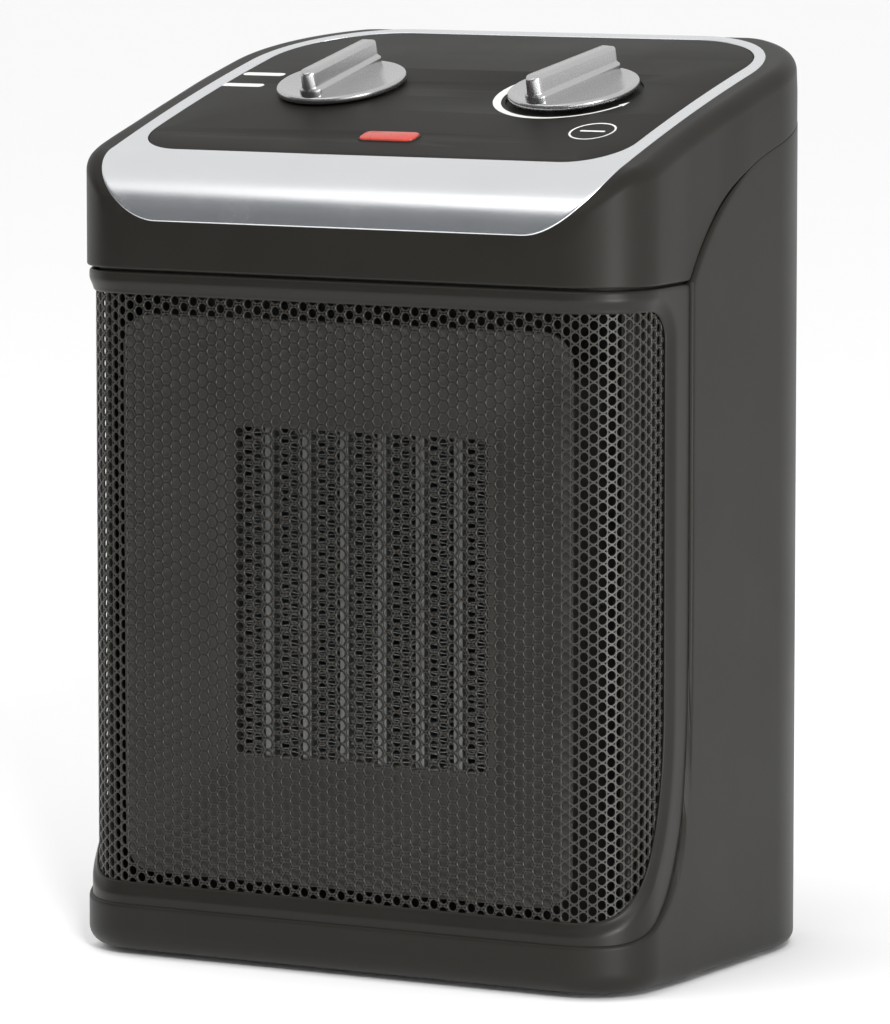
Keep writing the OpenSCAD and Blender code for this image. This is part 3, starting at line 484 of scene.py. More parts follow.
finish("body_black", (0.0125, 0.0115, 0.0095), 0.42, grain=0.010, grain_mm=0.35, specular=0.2)
finish("bezel_black", (0.0120, 0.0110, 0.0092), 0.34, grain=0.008, grain_mm=0.35, specular=0.24)
finish("panel_black", (0.0150, 0.0140, 0.0122), 0.5, spread=0.08, grain=0.006, grain_mm=0.2, specular=0.13)
finish("grille_steel", (0.036, 0.034, 0.030), 0.38, metallic=0.3, spread=0.12, grain=0.01, grain_mm=0.4)
finish("silver_trim", (0.88, 0.895, 0.91), 0.25, metallic=1.0, spread=0.03, rough_spread=0.04,
       grain=0.002, grain_mm=0.12, blotch_mm=30)
finish("knob_silver", (0.62, 0.62, 0.62), 0.26, metallic=1.0, spread=0.05,
       grain=0.004, grain_mm=0.2, stretch=(1, 0.15, 1))
finish("red_lens", (0.42, 0.035, 0.02), 0.3, spread=0.2, grain=0.03, grain_mm=1.2, coat=0.3,
       Emission_Color=(0.8, 0.07, 0.03, 1), Emission_Strength=0.10)
finish("zinc_steel", (0.55, 0.56, 0.58), 0.32, metallic=1.0, spread=0.12, rough_spread=0.1,
       grain=0.01, grain_mm=1.5, blotch_mm=6)
finish("lamination", (0.20, 0.20, 0.21), 0.5, metallic=0.8, spread=0.25,
       grain=0.05, stretch=(0.02, 1, 0.02))
finish("aluminium", (0.40, 0.40, 0.39), 0.38, metallic=0.9, spread=0.15,
       grain=0.01, grain_mm=0.3, stretch=(1, 0.1, 1))
finish("brass", (0.60, 0.42, 0.16), 0.3, metallic=1.0, spread=0.12, grain=0.006, grain_mm=0.4)
finish("bronze", (0.42, 0.25, 0.12), 0.42, metallic=1.0, spread=0.2, grain=0.02, grain_mm=0.25)
finish("copper_coil", (0.45, 0.16, 0.06), 0.3, metallic=0.7, spread=0.2,
       grain=0.15, stretch=(0.03, 1, 1), coat=0.4)
finish("ceramic_white", (0.66, 0.62, 0.54), 0.6, spread=0.08, grain=0.02, grain_mm=0.3)
finish("heat_plastic", (0.060, 0.057, 0.052), 0.5, spread=0.15, grain=0.02, grain_mm=0.4)
finish("dark_plastic", (0.028, 0.027, 0.025), 0.5, spread=0.15, grain=0.02, grain_mm=0.4)
finish("fan_plastic", (0.62, 0.61, 0.57), 0.45, spread=0.05, grain=0.01, grain_mm=0.4)
finish("pale_plastic", (0.60, 0.57, 0.50), 0.45, spread=0.06, grain=0.01, grain_mm=0.4)
finish("lamp_glass", (0.75, 0.55, 0.40), 0.15, spread=0.06, coat=0.6)
finish("rubber_black", (0.018, 0.018, 0.018), 0.75, spread=0.2, grain=0.03, grain_mm=0.4, specular=0.3)
finish("wire_red", (0.42, 0.04, 0.03), 0.42, grain=0.01)
PRINT = material("print_grey", (0.72, 0.72, 0.70), 0.5, spread=0.05, grain=0.004, grain_mm=0.15)

for part in frame["record"]["subparts"]:
    mesh = nodes[part["node"]].data
    mesh.materials.clear()
    mesh.materials.append(MATS[part["material_slot"]])


# ---------- head: plan outline and side profile meeting in a soft edge ----------

def head_depth(pts):
    """Depth under the head's outer skin, negative outside it."""
    x, y, z = np.abs(pts[..., 0]), pts[..., 1], pts[..., 2]
    fx, fy = x - (HALF_W - FRONT_R), y - (FRONT_R - HALF_D)
    bx, by = x - (HALF_W - BACK_R), y - (HALF_D - BACK_R)
    rf, rb = np.hypot(fx, fy) + 1e-9, np.hypot(bx, by) + 1e-9
    in_f, in_b = (fx > 0) & (fy < 0), (bx > 0) & (by > 0)
    ends = np.minimum(y + HALF_D, HALF_D - y)
    plan = np.where(in_f, FRONT_R - rf, np.where(in_b, BACK_R - rb, np.minimum(HALF_W - x, ends)))
    plan_ny = np.where(in_f, fy / rf, np.where(in_b, by / rb, np.where(HALF_W - x < ends, 0, np.sign(y))))
    plan = plan - FLANK_TAPER * smooth(y, ROLL_Y, STEP_Y) * seam_depth(y)
    slope = -((z - PANEL_Z) * math.cos(TILT) - (y - PANEL_Y) * math.sin(TILT))
    slope = slope + crown((y - PANEL_Y) * math.cos(TILT) + (z - PANEL_Z) * math.sin(TILT))
    ry, rz = y - ROLL_Y, z - ROLL_Z
    ky, kz = y - BACK_Y, z - BACK_Z
    rr, rk = np.hypot(ry, rz) + 1e-9, np.hypot(ky, kz) + 1e-9
    in_r = (rz > 0) & (ry < 0) & (ry / rr < -math.sin(TILT))
    in_k = (kz > -ky * math.tan(TILT)) & (kz > 0) & (ky > -kz * math.tan(TILT))
    flat = np.minimum(slope, ends)
    flat_ny = np.where(slope < ends, -math.sin(TILT), np.sign(y))
    side = np.where(in_r, ROLL_R - rr, np.where(in_k, BACK_EDGE_R - rk, flat))
    side_ny = np.where(in_r, ry / rr, np.where(in_k, ky / rk, flat_ny))
    r = EDGE_R * (1 - np.clip(plan_ny * side_ny, 0, 1)) + 1e-6
    a, b = r - plan, r - side
    return np.where((a > 0) & (b > 0), r - np.hypot(a, b), np.minimum(plan, side))


def shoot(origin, direction, depth=0.0, reach=60.0):
    """Points on the rays where the head's depth falls to the given value."""
    near, far = np.zeros(origin.shape[:-1]), np.full(origin.shape[:-1], reach)
    for _ in range(34):
        t = (near + far) / 2
        inside = head_depth(origin + direction * t[..., None]) > depth
        near, far = np.where(inside, t, near), np.where(inside, far, t)
    return origin + direction * near[..., None]


def lifted(x, p, h):
    """Points over the head's skin at height h, from unrolled (x, p)."""
    x, p, h = np.broadcast_arrays(np.asarray(x, float), p, h)
    base = on_head(x, p, -8.0)
    _, _, ny, nz = profile(p)
    normal = np.stack([0 * x, ny, nz], -1)
    return shoot(base, normal, 0.0, 20.0) + normal * h[..., None]


def tilted(y, z):
    """Coordinate up the plane in which the trim's outline is drawn."""
    return y * math.cos(TRIM_VIEW) + z * math.sin(TRIM_VIEW)


TRIM_LO = tilted(-HALF_D, ROLL_Z + TRIM_RISE)
TRIM_HI = tilted(TRIM_BACK_Y, PANEL_Z + (TRIM_BACK_Y - PANEL_Y) * math.tan(TILT))
_curve_p = np.linspace(0, P_END, 1500)
_curve_y, _curve_z = profile(_curve_p)[:2]
_trim_p = np.linspace(-6, P_END, 3000)
_trim_w = tilted(*profile(_trim_p)[:2])
trim_outline = tab_outline(TRIM_HALF_W, TRIM_LO, TRIM_HI, TRIM_FRONT_R, TRIM_BACK_R, 40)


def trim_depth(pts):
    """How far inside the trim's outline a point of the head lies."""
    x, w = np.abs(pts[..., 0]), tilted(pts[..., 1], pts[..., 2])
    depth = np.minimum(TRIM_HALF_W - x, np.minimum(w - TRIM_LO, TRIM_HI - w))
    for r, c in ((TRIM_FRONT_R, TRIM_LO + TRIM_FRONT_R), (TRIM_BACK_R, TRIM_HI - TRIM_BACK_R)):
        dx, dw = x - (TRIM_HALF_W - r), w - c
        beyond = (dx > 0) & ((dw < 0) if r == TRIM_FRONT_R else (dw > 0))
        depth = np.where(beyond, r - np.hypot(dx, dw), depth)
    return depth


def plan_lengths(step):
    """Arc lengths right round the body, starting and ending at the middle of the back."""
    n = int(round(LINE_END / step))
    half = np.linspace(0, LINE_END, n + 1)
    return np.concatenate([-half[:0:-1], half[:-1]])


EDGE_ROWS = np.array([0, 0.08, 0.2, 0.38, 0.62, 0.95, 1.4])     # distances of the rows next to an edge
SKIRT_ROWS = [2.2, 3.4]                                         # next rows up the head's side


def build_head():
    """The head's skin: upright skirt, side, soft edge and top, shot from inside, then made a wall."""
    s = plan_lengths(1.25)
    outline, normal = plan_point(s, 0)
    anchor, _ = plan_point(s, ANCHOR)
    n3 = np.concatenate([normal, 0 * s[:, None]], 1)
    up = np.array([0, 0, 1.0])
    anchor_z = np.interp(anchor[:, 1], _curve_y, _curve_z) - ANCHOR
    fade = seam_depth(outline[:, 1])
    low = step_line(outline[:, 1]) + SEAM_GAP * fade
    rows = []
    for d in np.concatenate([EDGE_ROWS, SKIRT_ROWS]):
        start = np.concatenate([anchor, (low + d)[:, None]], 1)
        rows.append(shoot(start, n3, HEAD_SINK * fade) - n3 * (rounding(d, HEAD_RIM_R) * fade)[:, None])
    first = low + SKIRT_ROWS[-1]
    for k in np.linspace(0, 1, 7)[1:]:
        z = first + (anchor_z - first) * k
        rows.append(shoot(np.concatenate([anchor, z[:, None]], 1), n3, HEAD_SINK * fade))
    origin = np.concatenate([anchor, anchor_z[:, None]], 1)
    for angle in np.linspace(0, math.pi / 2, 60)[1:]:
        sink = HEAD_SINK * (fade + (1 - fade) * smooth(angle, 0.1, 0.9))
        rows.append(shoot(origin, n3 * math.cos(angle) + up * math.sin(angle), sink))
    centre = np.array([0, ANCHOR * 0.5])
    for k in np.linspace(0, 1, 26)[1:-1]:
        xy = anchor + (centre - anchor) * k
        z = np.interp(xy[:, 1], _curve_y, _curve_z) - 20
        rows.append(shoot(np.concatenate([xy, z[:, None]], 1), np.broadcast_to(up, n3.shape), HEAD_SINK))
    verts = np.stack(rows)
    _, _, ny, nz = profile(np.interp(verts[..., 1], _curve_y, _curve_p))
    under = (verts[..., 2] > SEAM_Z + 8) & (verts[..., 1] < TRIM_BACK_Y + 3)
    sink = TRIM_SINK * smooth(trim_depth(verts), DIVE_START, DIVE_END) * under
    verts = verts - np.stack([0 * ny, ny, nz], -1) * sink[..., None]
    count = len(s)
    flat = verts.reshape(-1, 3)
    faces = grid_faces(len(rows), count, closed=True)
    faces.append(tuple(len(flat) - count + i for i in range(count)))
    faces = outward(flat, faces, np.array([0, 0, SEAM_Z]))
    return make("head_shell", flat, faces, MATS["body_black"], solid=SKIN)


def build_seam_lip():
    """Inner tongue that closes the joint between the head, the bezel and the housing."""
    s = plan_lengths(1.5)
    y = plan_point(s, 0)[0][:, 1]
    front = 1 - smooth(y, STEP_Y - 2, STEP_Y + 4)
    xy = plan_point(s, LIP_SIDE_INSET + (LIP_FRONT_INSET - LIP_SIDE_INSET) * front)[0]
    rows = [np.concatenate([xy, (step_line(y) + dz)[:, None]], 1)
            for dz in np.linspace(-LIP_REACH, LIP_REACH, 4)]
    verts = np.concatenate(rows)
    faces = outward(verts, grid_faces(len(rows), len(s), closed=True), np.array([0, 0, SEAM_Z]))
    return make("seam_lip", verts, faces, MATS["dark_plastic"], solid=LIP_T)


def build_trim():
    """Silver ring with its broad front band, from the panel's outline to its own, over the head."""
    centre = np.array([0, P_PANEL + PANEL_LEN / 2])
    outer = trim_outline.copy()
    outer[:, 1] = np.interp(outer[:, 1], _trim_w, _trim_p)
    inner = tab_outline(PANEL_HALF_W, P_PANEL, P_PANEL + PANEL_LEN, PANEL_FRONT_R, PANEL_BACK_R, 40)
    angles = np.linspace(-math.pi, math.pi, 900, endpoint=False)
    a, b = at_angles(inner, centre, angles), at_angles(outer, centre, angles)
    width = np.linalg.norm(b - a, axis=1)
    way = (b - a) / width[:, None]
    lip = np.array([0, 0.05, 0.14, 0.28, 0.46, 0.7])
    inside = [np.full_like(width, d) for d in lip]
    middle = [lip[-1] + (width - 2 * lip[-1]) * k for k in np.linspace(0, 1, 34)[1:-1]]
    outside = [width - d for d in lip[::-1]]
    rows, lifts = [a], [np.full_like(width, -2.0)]
    for d in inside + middle + outside:
        rows.append(a + way * d[:, None])
        lifts.append(-rounding(np.minimum(d, width - d), TRIM_LIP_R))
    rows.append(b)
    lifts.append(np.full_like(width, -1.9))
    flat, lift = np.stack(rows), np.stack(lifts)
    verts = lifted(flat[..., 0], flat[..., 1], lift).reshape(-1, 3)
    faces = outward(verts, grid_faces(len(rows), len(angles), closed=True), np.array([0, 0, SEAM_Z]))
    return make("trim_ring", verts, faces, MATS["silver_trim"], sharp=60)


def panel_piece(name, outline, low, high, mat, edge=0.0):
    """Prism that follows the crowned panel."""
    obj = prism(name, outline, low, high, on_panel, mat)
    return bevel(obj, edge) if edge else obj


def circle(cx, cy, r, steps=96):
    return arc(cx, cy, r, 0, 360, steps)[:-1]


def rounded_box(cx, cy, w, h, r, steps=10):
    return tab_outline(w / 2, -h / 2, h / 2, r, r, steps) + np.array([cx, cy])


def build_panel():
    """Matt plate: made flat with its well, slot and seat, cut into strips and bent over the crown."""
    def flat(x, v, n):
        return np.stack(np.broadcast_arrays(np.asarray(x, float), v, float(n)), -1)

    def piece(name, outline, low, high):
        return prism(name, outline, low, high, flat, MATS["panel_black"])

    outline = tab_outline(PANEL_HALF_W - PANEL_GAP, PANEL_GAP, PANEL_LEN - PANEL_GAP,
                          PANEL_FRONT_R, PANEL_BACK_R, 32)
    panel = piece("panel_plate", outline, PANEL_UNDER, -PANEL_RECESS)
    carve(panel, piece("cut_well", circle(KNOB_X, KNOB_V, WELL_R, 128), WELL_FLOOR, 3),
          piece("cut_slot", rounded_box(0, LENS_V, SLOT_W, SLOT_H, SLOT_R), -1.2, 3),
          piece("cut_seat", circle(-KNOB_X, KNOB_V, SEAT_R, 64), -1.6, 3))
    bevel(panel, 0.22, 50)
    bm = bmesh.new()
    bm.from_mesh(panel.data)
    for v in np.arange(PANEL_STRIP, PANEL_LEN, PANEL_STRIP) * MM:
        everything = bm.verts[:] + bm.edges[:] + bm.faces[:]
        bmesh.ops.bisect_plane(bm, geom=everything, plane_co=(0, v, 0), plane_no=(0, 1, 0))
    for vert in bm.verts:
        x, v, n = (c / MM for c in vert.co)
        vert.co = Vector(on_panel(x, v, n)) * MM
    bm.to_mesh(panel.data)
    bm.free()
    shade(panel)
    return panel


def crescent(cx, cy, r0, a0, a1, thick0, thick1, head=0.0):
    """Band round a knob, from thick0 to thick1 wide between two angles, with an optional arrow tip."""
    t = np.linspace(0, 1, 60)
    ang = np.radians(a0 + (a1 - a0) * t)
    thick = thick0 + (thick1 - thick0) * t
    outer = r0 + thick
    out = np.stack([cx + outer * np.cos(ang), cy + outer * np.sin(ang)], -1)
    inn = np.stack([cx + r0 * np.cos(ang), cy + r0 * np.sin(ang)], -1)
    if head:
        tip = math.radians(a1 + math.copysign(math.degrees(head / r0), a1 - a0))
        mid, barb = r0 + thick1 / 2, thick1 * ARROW_BARB
        arrow = [(mid + barb, ang[-1]), (mid, tip), (mid - barb, ang[-1])]
        out = np.concatenate([out, [(cx + r * math.cos(q), cy + r * math.sin(q)) for r, q in arrow]])
    return np.concatenate([out, inn[::-1]])


def build_prints():
    """Pale printed marks: a heat crescent, two setting bars and a plain pictogram. No letters."""
    low, high = -PANEL_RECESS - 0.15, -PANEL_RECESS + 0.04

    def mark(name, outline):
        return panel_piece(name, outline, low, high, PRINT)

    heat = crescent(KNOB_X, KNOB_V, CRESCENT_R, CRESCENT_FROM, CRESCENT_TO, CRESCENT_WIDE, CRESCENT_THIN)
    arrow = crescent(KNOB_X, KNOB_V, CRESCENT_R, CRESCENT_TO, ARROW_TO, CRESCENT_THIN, ARROW_THICK, ARROW_TIP)
    marks = [mark("print_crescent", heat), mark("print_arrow", arrow)]
    for i, v in enumerate(MARK_VS):
        marks.append(mark(f"print_bar_{i + 1}", rounded_box(MARK_X - i, v, MARK_W, MARK_H, MARK_R)))
    ring = mark("print_icon_ring", circle(ICON_X, ICON_V, ICON_R, 72))
    hole = circle(ICON_X, ICON_V, ICON_R - ICON_LINE, 72)
    carve(ring, panel_piece("cut_ring", hole, low - 1, high + 1, PRINT))
    return marks + [ring, mark("print_icon_bar", rounded_box(ICON_X, ICON_V, 8.0, 1.0, 0.45))]


# Half outlines of the knob: (radius, height) of disc and shaft, (share of half width, share of height) of bar
KNOB_DISC = [(0.01, 1.55), (6, 1.6), (12, 1.78), (16.0, 2.05), (17.5, 2.28), (18.2, 2.34), (18.7, 2.27),
             (19.0, 2.05), (19.15, 1.7), (19.15, 0.7), (18.95, 0.35), (18.4, 0.2), (0.01, 0.2)]
KNOB_STUB = [(0, -6.0), (2.7, -6.0), (3.0, -5.7), (3.0, 1.0), (0, 1.0)]
BAR_SECTION = [(1.0, 0.0), (1.0, 0.30), (0.985, 0.35), (0.95, 0.375), (0.78, 0.40), (0.735, 0.425),
               (0.715, 0.47), (0.66, 0.86), (0.63, 0.93), (0.56, 0.975), (0.46, 1.0), (0.0, 1.0)]


def build_knob(name, x):
    """Dished disc with a stepped grip bar that falls towards the back, and the shaft under it."""
    lift = float(crown(KNOB_V))

    def place(a, b, h):
        return on_slope(x + a, KNOB_V + b, h + lift)

    disc = lathe(name + "_disc", KNOB_DISC, place, MATS["knob_silver"], 128, 50)
    ring = BAR_SECTION + [(-a, b) for a, b in BAR_SECTION[-2::-1]]
    across, up = np.array(ring).T
    tip = BAR_HALF - BAR_END * (1 - np.cos(np.linspace(math.pi / 2, 0.05, 9)))
    v = np.concatenate([-tip[::-1], np.linspace(-BAR_HALF + BAR_END, BAR_HALF - BAR_END, 14)[1:-1], tip])
    rows = []
    for q in v:
        end = min(1.0, (BAR_HALF - abs(q)) / BAR_END)
        w = BAR_W / 2 * math.sqrt(max(1 - (1 - end) ** 2, 0.0025))
        top = BAR_FRONT_H + (BAR_BACK_H - BAR_FRONT_H) * (q + BAR_HALF) / (2 * BAR_HALF)
        top = top - BAR_END_FALL * (1 - end) ** 2
        rows.append(on_slope(x + across * w, KNOB_V + q, lift + BAR_FOOT + up * top))
    m = len(ring)
    faces = grid_faces(len(v), m)
    faces += [(k * m, (k + 1) * m, (k + 1) * m + m - 1, k * m + m - 1) for k in range(len(v) - 1)]
    faces += [tuple(range(m)), tuple((len(v) - 1) * m + i for i in range(m))]
    bar = make(name + "_bar", np.concatenate(rows), faces, MATS["knob_silver"], recalc=True, sharp=50)
    return disc, bar, lathe(name + "_stub", KNOB_STUB, place, MATS["zinc_steel"], 48)


def turn_piece(obj, x, degrees):
    """Turns a piece about the knob's axis, clockwise seen from outside."""
    axis = Vector(on_slope(x, KNOB_V, 1)) - Vector(on_slope(x, KNOB_V, 0))
    pivot = Vector(on_slope(x, KNOB_V, 0)) * MM
    turn = Matrix.Rotation(-math.radians(degrees), 4, axis)
    obj.data.transform(Matrix.Translation(pivot) @ turn @ Matrix.Translation(-pivot))


def build_lens():
    """Red window and the dark rim that it sits in."""
    def box(grow, w, h, r):
        return rounded_box(0, LENS_V, w + grow, h + grow, r)

    lens = panel_piece("lens_window", box(0, LENS_W, LENS_H, LENS_R), -1.1, 0.25, MATS["red_lens"], 0.5)
    rim = panel_piece("lens_rim", box(0, RIM_W, RIM_H, RIM_R), -1.15, -0.22, MATS["dark_plastic"])
    carve(rim, panel_piece("cut_rim", box(0.02, LENS_W, LENS_H, LENS_R), -1.3, 1, MATS["dark_plastic"]))
    return lens, rim


# ---------- rear housing: wrap and base band in one skin ----------

def edge_polyline():
    """The housing's visible front and upper edge in unrolled (s, z), for one side."""
    s = S_STEP - _sweep_s[::-1]
    low = np.stack([s, band_line(s)], -1)
    y = STEP_Y + (HALF_D - STEP_Y) * np.linspace(0, 1, 240)
    s = length_at(np.minimum(y, HALF_D - 0.01))
    high = np.stack([s, step_line(y)], -1)
    tail = np.array([[LINE_END, step_line(HALF_D)]])
    return np.concatenate([[[0, BAND_TOP]], low, [[S_STEP, SEAM_Z]], high, tail])


def housing_columns():
    """Arc lengths right round the body, closest together where the band sweeps up into the step."""
    gaps = [0.02] * 5 + [0.06] * 5 + [0.12] * 20 + [0.25] * 20 + [0.6] * 12 + [1.1] * 28
    near = S_STEP - np.cumsum(gaps)[::-1]
    after = S_STEP + np.concatenate([[0], EDGE_ROWS[1:], np.linspace(2.2, LINE_END - S_STEP, 150)])
    front = np.linspace(0, near[0], 56)[:-1]
    half = np.concatenate([front, near, after])
    return np.concatenate([-half[:0:-1], half[:-1]])


def fillet(s):
    """Radius of the housing's lower edge round the body: fuller at the front."""
    front, corner, rest = FILLETS
    return np.interp(np.abs(s), [0, LINE_A, LINE_B, S_STEP], [front, front, corner, rest])


def build_housing():
    """Base band right round the body, and the wrap above it from the step backwards."""
    s = housing_columns()
    y = plan_point(s, 0)[0][:, 1]
    line = edge_polyline()
    gap_share = seam_depth(y)
    top = band_line(s) - EDGE_GAP * (np.abs(s) < S_STEP)
    upper = step_line(y) - EDGE_GAP * gap_share
    radius = fillet(s)
    turns = np.linspace(0, math.pi / 2, 9)
    band = [BASE_Z + radius * (1 - np.cos(turn)) for turn in turns]
    insets = [radius * (1 - np.sin(turn)) for turn in turns]
    start = band[-1]
    band += [start + (top - EDGE_ROWS[-1] - start) * k for k in np.linspace(0, 1, 9)[1:]]
    band += [top - d for d in EDGE_ROWS[-2::-1]]
    insets += [0 * s] * (len(band) - len(insets))
    wrap = [top + (upper - EDGE_ROWS[-1] - top) * k for k in np.linspace(0, 1, 60)]
    wrap += [upper - d for d in EDGE_ROWS[-2::-1]]
    z = np.stack(band + wrap)
    inset = np.stack(insets + [0 * s] * len(wrap))
    ss = np.broadcast_to(s, z.shape)
    dist = edge_distance(np.stack([np.abs(ss).ravel(), z.ravel()], -1), line).reshape(z.shape)
    dist = np.maximum(dist - EDGE_GAP * gap_share, 0)
    xy = plan_point(ss, inset + rounding(dist, WRAP_EDGE_R) * gap_share)[0]
    verts = np.concatenate([xy, z[..., None]], -1).reshape(-1, 3)
    n = len(s)
    wrapped = np.abs(s) >= S_STEP - 1e-6
    faces = grid_faces(len(band), n, closed=True)
    faces += [tuple(len(band) * n + i for i in f) for f in grid_faces(len(wrap), n, closed=True)
              if wrapped[f[0] % n] and wrapped[f[1] % n]]
    used = sorted({i for f in faces for i in f})
    index = {old: new for new, old in enumerate(used)}
    faces = [tuple(index[i] for i in f) for f in faces]
    faces = outward(verts[used], faces, np.array([0, 0, BODY_MID]))
    shell = make("housing_shell", verts[used], faces, MATS["body_black"], solid=SKIN)
    inlet_lo, inlet_hi = node_box("rear_grille")
    gland_lo, gland_hi = node_box("cord_gland")
    w, _, h = inlet_hi - inlet_lo - 2 * INLET_EDGE
    inlet = rounded_box(0, (inlet_lo[2] + inlet_hi[2]) / 2, w, h, INLET_R, 8)
    gland_x, _, gland_z = (gland_lo + gland_hi) / 2
    gland = circle(gland_x, gland_z, GLAND_HOLE_R, 64)
    carve(shell, *(upright(name, hole, HALF_D - 6, HALF_D + 3, MATS["body_black"])
                   for name, hole in (("cut_inlet", inlet), ("cut_gland", gland))))
    shade(shell)
    return shell


def upright(name, outline, y0, y1, mat):
    """Prism through a wall facing front or back, on an outline in (x, z)."""
    def place(x, z, h):
        return np.stack([x, np.full_like(x, h), z], -1)

    return prism(name, outline, y0, y1, place, mat)


def level(name, outline, z0, z1, mat):
    """Prism through a level wall, on an outline in (x, y)."""
    def place(x, y, h):
        return np.stack([x, y, np.full_like(x, h)], -1)

    return prism(name, outline, z0, z1, place, mat)


def lathe(name, points, place, mat, steps=64, sharp=40):
    """Closed turned piece from (radius, height) points, the ends joined to the axis."""
    t = np.linspace(0, 2 * math.pi, steps, endpoint=False)
    rings = [(max(r, 1e-3), np.full(steps, float(h))) for r, h in points]
    verts = np.concatenate([place(r * np.cos(t), r * np.sin(t), h) for r, h in rings])
    faces = grid_faces(len(points), steps, closed=True)
    faces += [tuple(range(steps)), tuple((len(points) - 1) * steps + i for i in range(steps))]
    return make(name, verts, faces, mat, recalc=True, sharp=sharp)


# ---------- bezel and perforated grille ----------

def build_bezel():
    """Curved frame round the grille: a convex bead that rolls into the window."""
    centre = np.array([0, (WINDOW_LO + WINDOW_HI) / 2])
    end = length_at(STEP_Y + 2.5)
    low = BAND_TOP - TUCK
    inner = window_outline()
    outer = dense(np.array([[-end, low], [end, low], [end, BEZEL_TOP], [-end, BEZEL_TOP]]), 0.8)
    rays = np.concatenate([dense(inner, 0.9) - centre, outer - centre])
    angles = np.unique(np.arctan2(rays[:, 1], rays[:, 0]))
    angles = angles[np.concatenate([np.diff(angles) > 1e-4, [True]])]
    a, b = at_angles(inner, centre, angles), at_angles(outer, centre, angles)
    width = np.linalg.norm(b - a, axis=1)
    way = (b - a) / width[:, None]
    bead = [np.minimum(d, width * 0.5) for d in (0, 0.12, 0.3, 0.55, 0.9, 1.3, 1.8, 2.4, 3.0, 3.6, BEAD_W)]
    plain = [bead[-1] + (width - bead[-1] - EDGE_ROWS[-1]) * k for k in np.linspace(0, 1, 9)[1:]]
    rim = [width - d for d in (0.95, 0.6, 0.35, 0.15, 0)]
    rows = [a + way * d[:, None] for d in bead + plain + rim]
    flat = np.stack(rows)
    inner_line = np.concatenate([dense(inner, 0.6), inner[:1]])
    to_window = edge_distance(flat.reshape(-1, 2), inner_line).reshape(flat.shape[:2])
    inset = BEZEL_INSET + BEAD_SINK * (1 - smooth(to_window, 0.2, BEAD_W))
    inset = inset + BEZEL_LIP * (1 - smooth(to_window, 0, 0.5))
    inset = inset + rounding(np.maximum(BEZEL_TOP - flat[..., 1], 0), 1.2)
    xy = plan_point(flat[..., 0], inset)[0]
    verts = np.concatenate([xy, flat[..., 1:]], -1).reshape(-1, 3)
    faces = outward(verts, grid_faces(len(rows), len(angles), closed=True), np.array([0, 40, BODY_MID]))
    return make("bezel_frame", verts, faces, MATS["bezel_black"], solid=BEZEL_T)


def build_liner(side):
    """Upright wall behind the side part of the grille, between the duct and the housing."""
    s = np.linspace(length_at(LINER_FRONT_Y), length_at(STEP_Y + 1), 40)
    z = np.linspace(WINDOW_LO - 3, WINDOW_HI + 3, 30)
    ss, zz = np.meshgrid(s, z)
    rib = sum(LINER_RIB * np.exp(-((ss - s[0] - at) / LINER_RIB_W) ** 2) for at in LINER_RIBS)
    xy = plan_point(side * ss, LINER_INSET - rib)[0]
    verts = np.concatenate([xy, zz[..., None]], -1).reshape(-1, 3)
    faces = outward(verts, grid_faces(len(z), len(s)), np.array([0, -20, BODY_MID]))
    name = "side_liner_left" if side < 0 else "side_liner_right"
    return make(name, verts, faces, MATS["bezel_black"], solid=LINER_T)


def build_duct():
    """Funnel that widens from the heating core's frame to just behind the grille."""
    lo, hi = node_box("heater_end_caps")
    z_mid = (lo[2] + hi[2]) / 2
    half_w, half_h = hi[0] + 1.6, (hi[2] - lo[2]) / 2 - 5
    loops = []
    for k in np.linspace(0, 1, 14):
        ease = k ** DUCT_POWER
        w = half_w + (MOUTH_HALF_W - half_w) * ease
        low = z_mid - half_h + (MOUTH_LO - z_mid + half_h) * ease
        high = z_mid + half_h + (MOUTH_HI - z_mid - half_h) * ease
        outline = tab_outline(w, low, high, 2 + 7 * k, 2 + 7 * k, 8)
        y = THROAT_Y + (MOUTH_Y - THROAT_Y) * k
        loops.append(np.stack([outline[:, 0], np.full(len(outline), y), outline[:, 1]], -1))
    n = len(loops[0])
    verts = np.concatenate(loops)
    faces = outward(verts, grid_faces(len(loops), n, closed=True), np.array([0, THROAT_Y, z_mid]))
    return make("duct_funnel", verts, faces, MATS["heat_plastic"], solid=-DUCT_T)


def build_fins():
    """Folded fins between the bars of the heating core."""
    lo, hi = node_box("heater_fins")
    bar_lo, bar_hi = node_box("heater_bars")
    pitch = (bar_hi[0] - bar_lo[0] - FIN_BAR_W) / (FIN_COLUMNS - 2)
    verts, faces = [], []
    for c in range(FIN_COLUMNS):
        x0 = bar_lo[0] + FIN_BAR_W + 0.1 + (c - 1) * pitch
        x1 = x0 + pitch - FIN_BAR_W - 0.2
        z = np.arange(lo[2], hi[2], FIN_FOLD / 4)
        phase = (z - lo[2]) / FIN_FOLD * 2 * math.pi + c * 1.3
        wave = np.clip(1.25 * np.sin(phase), -1, 1)
        x = (x0 + x1) / 2 + (x1 - x0) / 2 * wave
        start = sum(len(v) for v in verts)
        for y in (lo[1], lo[1] + 4, lo[1] + 8, hi[1]):
            verts.append(np.stack([x, np.full_like(x, y), z], -1))
        faces += [tuple(start + i for i in f) for f in grid_faces(4, len(z))]
    return make("fin_stack", np.concatenate(verts), faces, MATS["aluminium"], solid=FIN_T, sharp=60)


